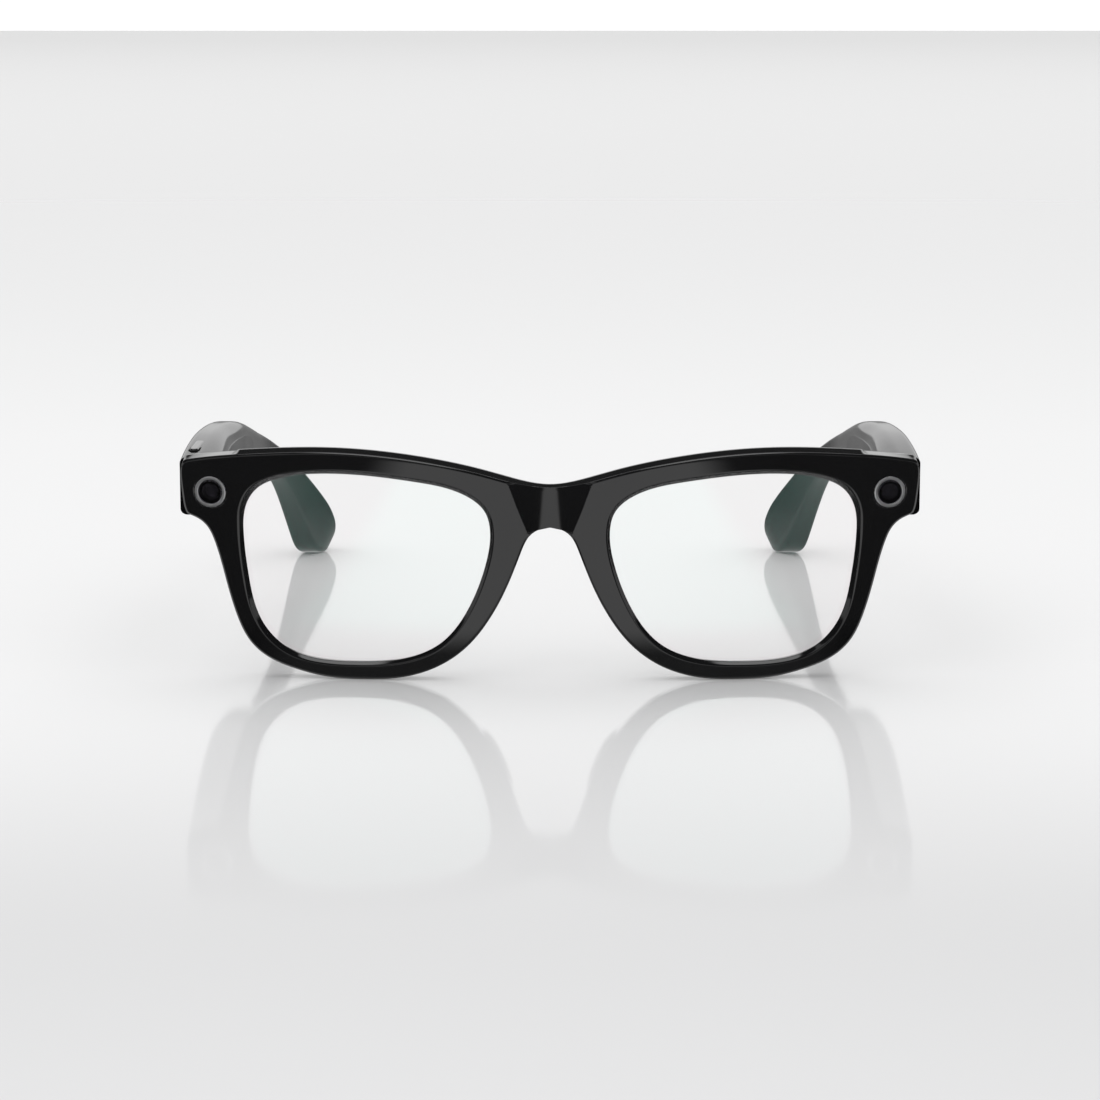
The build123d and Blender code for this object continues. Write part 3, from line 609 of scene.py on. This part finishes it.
def build_temple(side, name, material):
    """A temple: the ribs of temple_grid with the ear section's seam, the hinge's recess and closed ends."""
    top = temple_lines()[0]
    start = nearest_fraction(top, (12.0, 44.15))
    seam = nearest_fraction(top, (SEAM_Y, 32.2))
    tip_stations = 1 - TIP_SHARE * (1 - np.linspace(0, 1, 26)[1:]) ** 1.6
    stations = np.concatenate([np.linspace(start, TIP_FROM, 230), tip_stations])
    groove = seam + np.array([-0.0016, -0.0008, -0.0004, 0.0004, 0.0008, 0.0016])
    groove_reach, groove_half = 0.002, 0.0005
    stations = np.sort(np.concatenate([stations[np.abs(stations - seam) > groove_reach], groove]))
    x, y, z, w = temple_grid(stations)
    # the seam is a groove: its ribs shrink a little towards their middles
    in_groove = (np.abs(stations - seam) < groove_half)[:, None]
    squeeze, shrink = np.where(in_groove, 0.965, 1.0), np.where(in_groove, 0.985, 1.0)
    centre_x, centre_y, centre_z = (grid.mean(axis=1, keepdims=True) for grid in (x, y, z))
    x = centre_x + (x - centre_x) * squeeze
    z = centre_z + (z - centre_z) * shrink
    y = np.where(in_groove, centre_y + (y - centre_y) * shrink, y)
    y0, y1, z0, z1 = HINGE_WINDOW
    on_inner_face = w < 0.02
    in_window = on_inner_face & (y > y0) & (y < y1) & (z > z0) & (z < z1)
    x = np.where(in_window, x + WINDOW_DEPTH, x)
    grid = np.stack([x * side, y, z], axis=-1)
    # closing face at the joint: the first rib shrinks to its middle, in the slanted plane
    centre = grid[0].mean(axis=0)
    caps = np.stack([centre + (grid[0] - centre) * scale for scale in (0.0, 0.4, 0.8, 0.97)])
    caps[..., 1] = joint_face(np.abs(caps[..., 0]))
    tip = np.broadcast_to(grid[-1].mean(axis=0), grid[-1:].shape)
    skin = Surface().add(np.concatenate([caps, grid, tip]), wrap_columns=True)
    return skin.finish(
        name + "_temple_housing", material, name + "_temple", "temple_plastic",
        (name + "_temple_shell",), sharp=50)


def build_cover(side, name, material):
    """The temple's inner panel: a thin plate with rounded ends, just proud of the inner face.

    Each ring is a rounded box, the cosine and sine of an angle raised to a small power, and the rings
    shrink to the panel's middle line.
    """
    top, low, _, _ = temple_lines()
    a = np.linspace(0, 2 * math.pi, 200, endpoint=False)
    squareness, proud, end_share = 0.22, -0.10, 0.3
    sy = np.sign(np.cos(a)) * np.abs(np.cos(a)) ** squareness
    sz = np.sign(np.sin(a)) * np.abs(np.sin(a)) ** squareness
    rings = [(1.0, 0.9), (1.0, 0.0), (0.9985, -0.07), (0.996, proud)]
    rings += [(scale, proud) for scale in np.linspace(0.96, 0.0, 30)]
    rows = []
    for scale, lift in rings:
        shrink = (1 - scale) * (end_share if scale > 0.9 else 1)
        y = PANEL_MIDDLE + PANEL_HALF * (1 - shrink) * sy
        z_top, z_low = edge_heights(y, top, low)
        z_top, z_low = z_top - PANEL_DROP, z_low + PANEL_LIFT
        z = 0.5 * (z_top + z_low) + 0.5 * (z_top - z_low) * sz * scale
        x = temple_plan(y)[0] + lift
        rows.append(np.stack([x * side, y, z], axis=-1))
    grid = np.stack(rows)
    back = np.broadcast_to(grid[0].mean(axis=0), grid[:1].shape)
    skin = Surface().add(np.concatenate([back, grid]), wrap_columns=True)
    return skin.finish(
        name + "_temple_inner_panel", material, name + "_temple", "temple_plastic",
        (name + "_temple_inner_cover",), sharp=40)


def build_button_surround(material):
    """Painted shade for the slit round the capture button: a flat near-black band between two long ovals."""
    a = np.linspace(0, 2 * math.pi, 120, endpoint=False)

    def oval(margin, height):
        radius = BUTTON_WIDTH / 2 + margin
        straight = BUTTON_LENGTH / 2 + margin - radius
        y = straight * np.sign(np.sin(a)) + radius * np.sin(a)
        heights = np.full_like(a, SLIT_TOP + height)
        return np.stack([-(BUTTON_AT[0] + radius * np.cos(a)), BUTTON_AT[1] + y, heights], axis=-1)

    # the band carries painted shade: its near-black finish stands for the slit's shade
    rows = [oval(0.02, -0.6), oval(0.02, 0.02), oval(0.22, 0.03), oval(0.30, -0.03), oval(0.30, -0.6)]
    Surface().add(np.stack(rows), wrap_rows=True, wrap_columns=True).finish(
        "capture_button_painted_shade_band", material, "right_temple", "camera_body", sharp=40)


# ---------------------------------------------------------------- materials

def group(name, build, inputs, outputs):
    """A shader node group made once and found again by name."""
    if name in bpy.data.node_groups:
        return bpy.data.node_groups[name]
    tree = bpy.data.node_groups.new(name, "ShaderNodeTree")
    for label, kind, default in inputs:
        socket = tree.interface.new_socket(label, in_out="INPUT", socket_type=kind)
        if default is not None:
            socket.default_value = default
    for label, kind in outputs:
        tree.interface.new_socket(label, in_out="OUTPUT", socket_type=kind)
    build(tree, tree.nodes.new("NodeGroupInput"), tree.nodes.new("NodeGroupOutput"))
    return tree


def feed(tree, value, socket):
    """Links an output to a socket, or sets the socket to a plain value."""
    if hasattr(value, "is_output"):
        tree.links.new(value, socket)
    else:
        socket.default_value = value


def object_place(tree):
    """The piece's own coordinates."""
    return tree.nodes.new("ShaderNodeTexCoord").outputs["Object"]


def noise_node(tree, vector, **inputs):
    """Cloudy noise over the given coordinates."""
    node = tree.nodes.new("ShaderNodeTexNoise")
    tree.links.new(vector, node.inputs["Vector"])
    for label, value in inputs.items():
        feed(tree, value, node.inputs[label])
    return node.outputs["Fac"]


def stretch_node(tree, vector, scale, turn=(0.0, 0.0, 0.0)):
    """The coordinates scaled and turned, so that noise over them comes out as lines."""
    node = tree.nodes.new("ShaderNodeMapping")
    node.inputs["Scale"].default_value = scale
    node.inputs["Rotation"].default_value = turn
    tree.links.new(vector, node.inputs["Vector"])
    return node.outputs["Vector"]


def range_node(tree, source, low, high, start, end, curve_type="LINEAR"):
    """A change from start to end while the source goes from low to high."""
    node = tree.nodes.new("ShaderNodeMapRange")
    node.interpolation_type = curve_type
    for label, value in (("From Min", low), ("From Max", high), ("To Min", start), ("To Max", end)):
        feed(tree, value, node.inputs[label])
    tree.links.new(source, node.inputs["Value"])
    return node.outputs["Result"]


def math_node(tree, operation, first, second=None):
    """One sum on numbers or outputs."""
    node = tree.nodes.new("ShaderNodeMath")
    node.operation = operation
    feed(tree, first, node.inputs[0])
    if second is not None:
        feed(tree, second, node.inputs[1])
    return node.outputs[0]


def mix_node(tree, factor, first, second):
    """A colour between two others."""
    node = tree.nodes.new("ShaderNodeMix")
    node.data_type = "RGBA"
    feed(tree, factor, node.inputs["Factor"])
    feed(tree, first, node.inputs["A"])
    feed(tree, second, node.inputs["B"])
    return node.outputs["Result"]


def handling_marks():
    """Roughness and height of a polished surface: faint cloudy smears, fine hairlines and a slow waviness."""
    def build(tree, source, out):
        place = object_place(tree)
        base = source.outputs["Base"]
        smear = noise_node(tree, place, Scale=55, Detail=5, Roughness=0.6)
        stretched = stretch_node(tree, place, (1.0, 1.0, 9.0), (0.3, 0.5, 0.2))
        hair = noise_node(tree, stretched, Scale=900, Detail=3)
        wave = noise_node(tree, place, Scale=90, Detail=1)
        smeared = math_node(tree, "ADD", base, source.outputs["Smears"])
        tree.links.new(range_node(tree, smear, 0.35, 0.75, base, smeared), out.inputs["Roughness"])
        lines = math_node(tree, "MULTIPLY", hair, source.outputs["Hairlines"])
        tree.links.new(math_node(tree, "ADD", lines, wave), out.inputs["Height"])
    return group("Handling marks", build,
                 [("Base", "NodeSocketFloat", 0.1), ("Smears", "NodeSocketFloat", 0.05),
                  ("Hairlines", "NodeSocketFloat", 0.1)],
                 [("Roughness", "NodeSocketFloat"), ("Height", "NodeSocketFloat")])


def mottled():
    """A colour that drifts slowly between two tones."""
    def build(tree, source, out):
        cloud = noise_node(tree, object_place(tree), Detail=4, Scale=source.outputs["Scale"])
        mixed = mix_node(tree, cloud, source.outputs["Dark"], source.outputs["Light"])
        tree.links.new(mixed, out.inputs["Color"])
    return group("Mottled colour", build,
                 [("Dark", "NodeSocketColor", (0, 0, 0, 1)), ("Light", "NodeSocketColor", (1, 1, 1, 1)),
                  ("Scale", "NodeSocketFloat", 60.0)],
                 [("Color", "NodeSocketColor")])


def brushed():
    """Fine parallel grooves: noise stretched along one direction."""
    def build(tree, source, out):
        stretched = stretch_node(tree, object_place(tree), (30.0, 1.0, 30.0))
        grain = noise_node(tree, stretched, Scale=260, Detail=4)
        tree.links.new(grain, out.inputs["Height"])
        roughness = range_node(tree, grain, 0.0, 1.0, source.outputs["Low"], source.outputs["High"])
        tree.links.new(roughness, out.inputs["Roughness"])
    return group("Brushed grain", build,
                 [("Low", "NodeSocketFloat", 0.25), ("High", "NodeSocketFloat", 0.45)],
                 [("Height", "NodeSocketFloat"), ("Roughness", "NodeSocketFloat")])


def new_material(name):
    """An empty material, its node tree and its shader."""
    material = bpy.data.materials.new(name)
    material.use_nodes = True
    tree = material.node_tree
    return material, tree, tree.nodes["Principled BSDF"]


def place_group(tree, made, **values):
    """A shared node group in a material, with its inputs set."""
    node = tree.nodes.new("ShaderNodeGroup")
    node.node_tree = made
    for label, value in values.items():
        node.inputs[label].default_value = value
    return node


def bump_from(tree, height, shader, distance):
    """Feeds a height, in metres at its full value, to the shader's Normal."""
    bump = tree.nodes.new("ShaderNodeBump")
    bump.inputs["Distance"].default_value = distance
    bump.inputs["Strength"].default_value = 1.0
    tree.links.new(height, bump.inputs["Height"])
    tree.links.new(bump.outputs["Normal"], shader.inputs["Normal"])


def polished(name, dark, light, base, smears, hairlines, coat=0.0, specular=0.5, wave=2e-6):
    """A moulded or polished plastic."""
    material, tree, shader = new_material(name)
    marks = place_group(tree, handling_marks(), Base=base, Smears=smears, Hairlines=hairlines)
    colour = place_group(tree, mottled(), Dark=(*dark, 1), Light=(*light, 1), Scale=70.0)
    tree.links.new(marks.outputs["Roughness"], shader.inputs["Roughness"])
    tree.links.new(colour.outputs["Color"], shader.inputs["Base Color"])
    bump_from(tree, marks.outputs["Height"], shader, wave)
    shader.inputs["Specular IOR Level"].default_value = specular
    shader.inputs["Coat Weight"].default_value = coat
    shader.inputs["Coat Roughness"].default_value = 0.03
    return material


def metal(name, dark, light, low, high):
    """A brushed or turned metal."""
    material, tree, shader = new_material(name)
    grain = place_group(tree, brushed(), Low=low, High=high)
    colour = place_group(tree, mottled(), Dark=(*dark, 1), Light=(*light, 1), Scale=400.0)
    tree.links.new(colour.outputs["Color"], shader.inputs["Base Color"])
    tree.links.new(grain.outputs["Roughness"], shader.inputs["Roughness"])
    bump_from(tree, grain.outputs["Height"], shader, 4e-6)
    shader.inputs["Metallic"].default_value = 1.0
    return material


def glass(name, dark, light, scale, tint=(1, 1, 1)):
    """A clear or tinted glass, its tint drifting slightly across it."""
    material, tree, shader = new_material(name)
    colour = place_group(tree, mottled(), Dark=(*dark, 1), Light=(*light, 1), Scale=scale)
    tree.links.new(colour.outputs["Color"], shader.inputs["Base Color"])
    shader.inputs["Roughness"].default_value = 0.0
    shader.inputs["IOR"].default_value = 1.5
    shader.inputs["Transmission Weight"].default_value = 1.0
    shader.inputs["Specular Tint"].default_value = (*tint, 1)
    return material


MATERIALS = {}


def make_materials(colours):
    """Every finish by its short name. A polished one says base roughness, smears and hairlines, and a
    metal one says its lowest and highest roughness."""
    black = tuple(colours.frame_black)
    soft = tuple(c * 1.5 + 0.002 for c in black)
    m = MATERIALS
    m["frame"] = polished("Polished black acetate", black, soft, 0.045, 0.05, 0.06)
    m["temple"] = polished("Polished black nylon", black, soft, 0.06, 0.06, 0.07)
    m["panel"] = polished("Satin black cover", black, soft, 0.16, 0.07, 0.2, wave=3e-6)
    m["pad"] = polished("Polished black pad", black, soft, 0.08, 0.05, 0.05)
    m["ring"] = metal("Satin anodised ring", (0.50, 0.50, 0.51), (0.62, 0.62, 0.63), 0.38, 0.50)
    m["window"] = glass("Smoked cover glass", (0.16, 0.15, 0.18), (0.22, 0.21, 0.25), 300.0)
    m["barrel"] = polished(
        "Matt black lens holder", (0.006, 0.006, 0.007), (0.014, 0.014, 0.015), 0.35, 0.15, 0.4, wave=6e-6)
    m["element"] = polished(
        "Coated lens element", (0.008, 0.006, 0.014), (0.03, 0.018, 0.05), 0.02, 0.01, 0.0,
        coat=1.0, specular=1.0)
    m["lens"] = glass("Clear coated lens", (0.965, 0.992, 0.982), (0.98, 0.995, 0.99), 20.0, (0.3, 1.0, 0.8))
    m["steel"] = metal("Brushed steel", (0.42, 0.42, 0.43), (0.58, 0.58, 0.58), 0.22, 0.42)
    m["screw"] = metal("Turned steel", (0.50, 0.50, 0.50), (0.66, 0.66, 0.65), 0.16, 0.3)
    m["gold"] = metal("Gold contact plating", (0.78, 0.50, 0.16), (0.92, 0.66, 0.27), 0.12, 0.24)
    m["board"] = polished("Green solder mask", (0.008, 0.06, 0.03), (0.02, 0.12, 0.06), 0.3, 0.15, 0.3)
    m["chip"] = polished(
        "Moulded black package", (0.018, 0.018, 0.019), (0.035, 0.035, 0.036), 0.45, 0.15, 0.8, wave=8e-6)
    m["film"] = polished("Amber flexible film", (0.38, 0.18, 0.02), (0.62, 0.36, 0.07), 0.2, 0.1, 0.1)
    m["foil"] = metal("Battery foil", (0.55, 0.55, 0.57), (0.72, 0.72, 0.74), 0.25, 0.45)
    m["button"] = polished("Gloss black button", black, soft, 0.05, 0.05, 0.05, coat=0.5)
    # painted shade: a near-black, nearly unreflective finish stands in for the shade inside the slit round
    # the capture button
    m["dark_gap"] = polished(
        "Painted shade of button slit", (0.002, 0.002, 0.002), (0.004, 0.004, 0.004), 0.7, 0.1, 0.2, specular=0.1)
    m["mesh"] = metal("Black woven steel", (0.03, 0.03, 0.03), (0.09, 0.09, 0.09), 0.35, 0.6)


CAD_FINISHES = {
    "frame": ["brow_rear_cover", "left_end_piece_cover", "right_end_piece_cover"],
    "steel": ["left_front_hinge", "right_front_hinge", "left_temple_hinge", "right_temple_hinge",
              "left_temple_core_wire", "right_temple_core_wire"],
    "screw": ["left_hinge_screw", "right_hinge_screw", "left_front_hinge_fixings",
              "right_front_hinge_fixings", "left_temple_hinge_fixings", "right_temple_hinge_fixings"],
    "gold": ["charging_contacts"],
    "board": ["left_camera_board", "right_camera_board", "main_board", "battery_board"],
    "chip": ["processor_and_memory", "bridge_microphone", "left_temple_microphone", "right_temple_microphone",
             "button_switch", "power_switch_base", "left_speaker", "right_speaker"],
    "film": ["front_flex_cable", "touch_sensor"],
    "foil": ["battery"],
    "button": ["capture_button", "power_switch"],
    "mesh": ["left_speaker_mesh", "right_speaker_mesh"],
}


# ---------------------------------------------------------------- settings and operators

class GlassesSizes(bpy.types.PropertyGroup):
    edge_chamfer: bpy.props.FloatProperty(
        name="Edge chamfer", description="Width of the polished chamfer round the front's outer edge",
        default=0.0004, unit="LENGTH", subtype="DISTANCE", precision=5)
    opening_bevel: bpy.props.FloatProperty(
        name="Opening bevel", description="Width of the bevel round each lens opening",
        default=0.0009, unit="LENGTH", subtype="DISTANCE", precision=5)
    lens_thickness: bpy.props.FloatProperty(
        name="Lens thickness", description="Thickness of the clear lenses",
        default=0.0014, unit="LENGTH", subtype="DISTANCE", precision=5)


class GlassesColours(bpy.types.PropertyGroup):
    frame_black: bpy.props.FloatVectorProperty(
        name="Frame black", description="Base colour of the polished frame",
        default=(0.0035, 0.0035, 0.0038), subtype="COLOR", size=3)
    floor_white: bpy.props.FloatVectorProperty(
        name="Floor white", description="Colour of the pale floor",
        default=(0.84, 0.84, 0.845), subtype="COLOR", size=3)


class GLASSES_OT_materials(bpy.types.Operator):
    """Makes every finish and gives the engineering pieces theirs"""
    bl_idname = "glasses.materials"
    bl_label = "Make finishes"

    def execute(self, context):
        make_materials(context.scene.glasses_colours)
        for finish, nodes in CAD_FINISHES.items():
            for node in nodes:
                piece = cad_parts[node]
                piece.data.materials.clear()
                piece.data.materials.append(MATERIALS[finish])
        return {"FINISHED"}


class GLASSES_OT_front(bpy.types.Operator):
    """Builds the rims, bridge and end pieces"""
    bl_idname = "glasses.front"
    bl_label = "Build front"

    def execute(self, context):
        build_front(context.scene.glasses_sizes, MATERIALS["frame"])
        return {"FINISHED"}


class GLASSES_OT_lenses(bpy.types.Operator):
    """Builds the two clear lenses"""
    bl_idname = "glasses.lenses"
    bl_label = "Build lenses"

    def execute(self, context):
        for name, side in SIDES.items():
            build_lens(side, name, MATERIALS["lens"], context.scene.glasses_sizes.lens_thickness)
        return {"FINISHED"}


class GLASSES_OT_modules(bpy.types.Operator):
    """Builds the camera modules' bezels, glass and lens holders"""
    bl_idname = "glasses.modules"
    bl_label = "Build camera modules"

    def execute(self, context):
        for name, side in SIDES.items():
            build_module(side, name, MATERIALS)
        return {"FINISHED"}


class GLASSES_OT_pads(bpy.types.Operator):
    """Builds the nose pads"""
    bl_idname = "glasses.pads"
    bl_label = "Build nose pads"

    def execute(self, context):
        for name, side in SIDES.items():
            build_pad(side, name, MATERIALS["pad"])
        return {"FINISHED"}


class GLASSES_OT_temples(bpy.types.Operator):
    """Builds the temples, their inner panels and the painted shade band round the capture button"""
    bl_idname = "glasses.temples"
    bl_label = "Build temples"

    def execute(self, context):
        for name, side in SIDES.items():
            build_temple(side, name, MATERIALS["temple"])
            build_cover(side, name, MATERIALS["panel"])
        build_button_surround(MATERIALS["dark_gap"])
        return {"FINISHED"}


class GLASSES_OT_stage(bpy.types.Operator):
    """Builds the pale floor, the soft lights and the camera"""
    bl_idname = "glasses.stage"
    bl_label = "Build stage"

    def execute(self, context):
        build_stage(context.scene.glasses_colours)
        return {"FINISHED"}


OPERATORS = [GLASSES_OT_materials, GLASSES_OT_front, GLASSES_OT_lenses, GLASSES_OT_modules, GLASSES_OT_pads,
             GLASSES_OT_temples, GLASSES_OT_stage]


class GLASSES_PT_panel(bpy.types.Panel):
    """Lists the sizes, colours and building steps"""
    bl_idname = "GLASSES_PT_panel"
    bl_label = "Glasses"
    bl_space_type = "VIEW_3D"
    bl_region_type = "UI"
    bl_category = "Glasses"

    def draw(self, context):
        for settings in (context.scene.glasses_sizes, context.scene.glasses_colours):
            for label in settings.__annotations__:
                self.layout.prop(settings, label)
        for operator in OPERATORS:
            self.layout.operator(operator.bl_idname)


# ---------------------------------------------------------------- stage

def area_light(name, place, target, width, height, watts):
    """A soft rectangular lamp that faces the target."""
    data = bpy.data.lights.new(name, "AREA")
    data.shape = "RECTANGLE"
    data.size, data.size_y = width, height
    data.energy = watts
    lamp = bpy.data.objects.new(name, data)
    lamp.location = place
    lamp.rotation_euler = (Vector(target) - Vector(place)).to_track_quat("-Z", "Y").to_euler()
    bpy.context.scene.collection.objects.link(lamp)


def smooth_range(tree, source, low, high, start, end):
    """A smooth change from start to end while the source goes from low to high."""
    return range_node(tree, source, low, high, start, end, "SMOOTHSTEP")


def swap_shaders(tree, factor, plain, other, output):
    """The plain shader, or the other one where the factor is 1."""
    swap = tree.nodes.new("ShaderNodeMixShader")
    tree.links.new(factor, swap.inputs["Fac"])
    tree.links.new(plain.outputs[0], swap.inputs[1])
    tree.links.new(other.outputs[0], swap.inputs[2])
    tree.links.new(swap.outputs[0], tree.nodes[output].inputs["Surface"])


def floor_material(colour):
    """A pale glossy table. For glossy rays it swaps to a painted reflection glow, so polished pieces see it
    dim in front of the glasses and pale behind them.
    """
    material, tree, shader = new_material("Pale glossy table")
    place = object_place(tree)
    darker = tuple(c * 0.99 for c in colour)
    mixed = mix_node(tree, noise_node(tree, place, Scale=3.0), (*colour, 1), (*darker, 1))
    tree.links.new(mixed, shader.inputs["Base Color"])
    shader.inputs["Roughness"].default_value = 0.07
    shader.inputs["IOR"].default_value = 1.85
    axis = tree.nodes.new("ShaderNodeSeparateXYZ")
    tree.links.new(place, axis.inputs["Vector"])
    # painted reflection: the glow that polished pieces mirror, a pool under the rims, which ends just in
    # front, and a paler part behind
    pool_across = smooth_range(tree, math_node(tree, "ABSOLUTE", axis.outputs["X"]), 0.050, 0.068, 1.25, 0.05)
    pool_along = smooth_range(tree, axis.outputs["Y"], -0.104, -0.088, 1.0, 0.12)
    behind = smooth_range(tree, axis.outputs["Y"], -0.078, -0.070, 0.0, 1.0)
    far = smooth_range(tree, axis.outputs["Y"], 0.04, 0.13, 1.0, 0.28)
    painted_reflection_pool = math_node(tree, "MULTIPLY", pool_across, pool_along)
    # painted reflection glow: an emission that only glossy rays see, though the table is no lamp
    painted_reflection_glow = tree.nodes.new("ShaderNodeEmission")
    painted_reflection_strength = math_node(tree, "MAXIMUM", painted_reflection_pool, math_node(tree, "MULTIPLY", behind, far))
    tree.links.new(painted_reflection_strength, painted_reflection_glow.inputs["Strength"])
    ray = tree.nodes.new("ShaderNodeLightPath")
    not_through_glass = math_node(tree, "SUBTRACT", 1.0, ray.outputs["Is Transmission Ray"])
    mirrored = math_node(tree, "MULTIPLY", ray.outputs["Is Glossy Ray"], not_through_glass)
    swap_shaders(tree, mirrored, shader, painted_reflection_glow, "Material Output")
    return material


def studio_world():
    """Even white all round, which polished pieces see as bright only near the horizon and in one ring
    high overhead."""
    world = bpy.data.worlds.new("Studio")
    world.use_nodes = True
    tree = world.node_tree
    background = tree.nodes["Background"]
    background.inputs["Color"].default_value = (1, 1, 1, 1)
    background.inputs["Strength"].default_value = 1.07
    axis = tree.nodes.new("ShaderNodeSeparateXYZ")
    tree.links.new(tree.nodes.new("ShaderNodeTexCoord").outputs["Generated"], axis.inputs["Vector"])
    upward = axis.outputs["Z"]
    horizon = smooth_range(tree, upward, 0.21, 0.30, 1.0, 0.03)
    overhead = math_node(tree, "MULTIPLY", smooth_range(tree, upward, 0.920, 0.936, 0.0, 4.0),
                         smooth_range(tree, upward, 0.956, 0.968, 1.0, 0.1))
    mirrored = tree.nodes.new("ShaderNodeBackground")
    tree.links.new(math_node(tree, "ADD", horizon, overhead), mirrored.inputs["Strength"])
    ray = tree.nodes.new("ShaderNodeLightPath")
    swap_shaders(tree, ray.outputs["Is Glossy Ray"], background, mirrored, "World Output")
    return world


def build_stage(colours):
    """The floor, the world, two soft lamps and the camera, which faces the glasses from a little above."""
    scene = bpy.context.scene
    mesh = bpy.data.meshes.new("floor")
    corners = [(-FLOOR_HALF, -FLOOR_HALF, 0), (FLOOR_HALF, -FLOOR_HALF, 0),
               (FLOOR_HALF, FLOOR_HALF, 0), (-FLOOR_HALF, FLOOR_HALF, 0)]
    mesh.from_pydata(corners, [], [(0, 1, 2, 3)])
    floor = bpy.data.objects.new("floor", mesh)
    scene.collection.objects.link(floor)
    mesh.materials.append(floor_material(tuple(colours.floor_white)))
    scene.world = studio_world()
    scene.view_settings.view_transform = "Standard"
    area_light("overhead_softbox", (0, 0.15, 0.9), (0, 0, 0), 1.2, 0.9, 1.6)
    area_light("front_softbox", (-0.5, -0.7, 0.8), (0, -0.05, 0.02), 0.5, 0.5, 0.6)
    data = bpy.data.cameras.new("camera")
    data.sensor_width = CAMERA_SENSOR
    data.sensor_fit = "HORIZONTAL"
    data.lens = CAMERA_LENS
    camera = bpy.data.objects.new("camera", data)
    camera.location = (0, -Y_CENTRE * MM - CAMERA_DISTANCE, CAMERA_HEIGHT)
    camera.rotation_euler = (math.pi / 2 - CAMERA_DROP, 0, 0)
    scene.collection.objects.link(camera)
    scene.camera = camera


def register():
    """Adds the settings, the building steps and the panel."""
    for kind in (GlassesSizes, GlassesColours, *OPERATORS, GLASSES_PT_panel):
        bpy.utils.register_class(kind)
    bpy.types.Scene.glasses_sizes = bpy.props.PointerProperty(type=GlassesSizes)
    bpy.types.Scene.glasses_colours = bpy.props.PointerProperty(type=GlassesColours)


def unregister():
    """Takes them away again."""
    del bpy.types.Scene.glasses_colours
    del bpy.types.Scene.glasses_sizes
    for kind in reversed((GlassesSizes, GlassesColours, *OPERATORS, GLASSES_PT_panel)):
        bpy.utils.unregister_class(kind)


def main():
    """Runs every building step in order."""
    register()
    for operator in OPERATORS:
        family, step = operator.bl_idname.split(".")
        getattr(getattr(bpy.ops, family), step)()


if __name__ == "__main__":
    main()
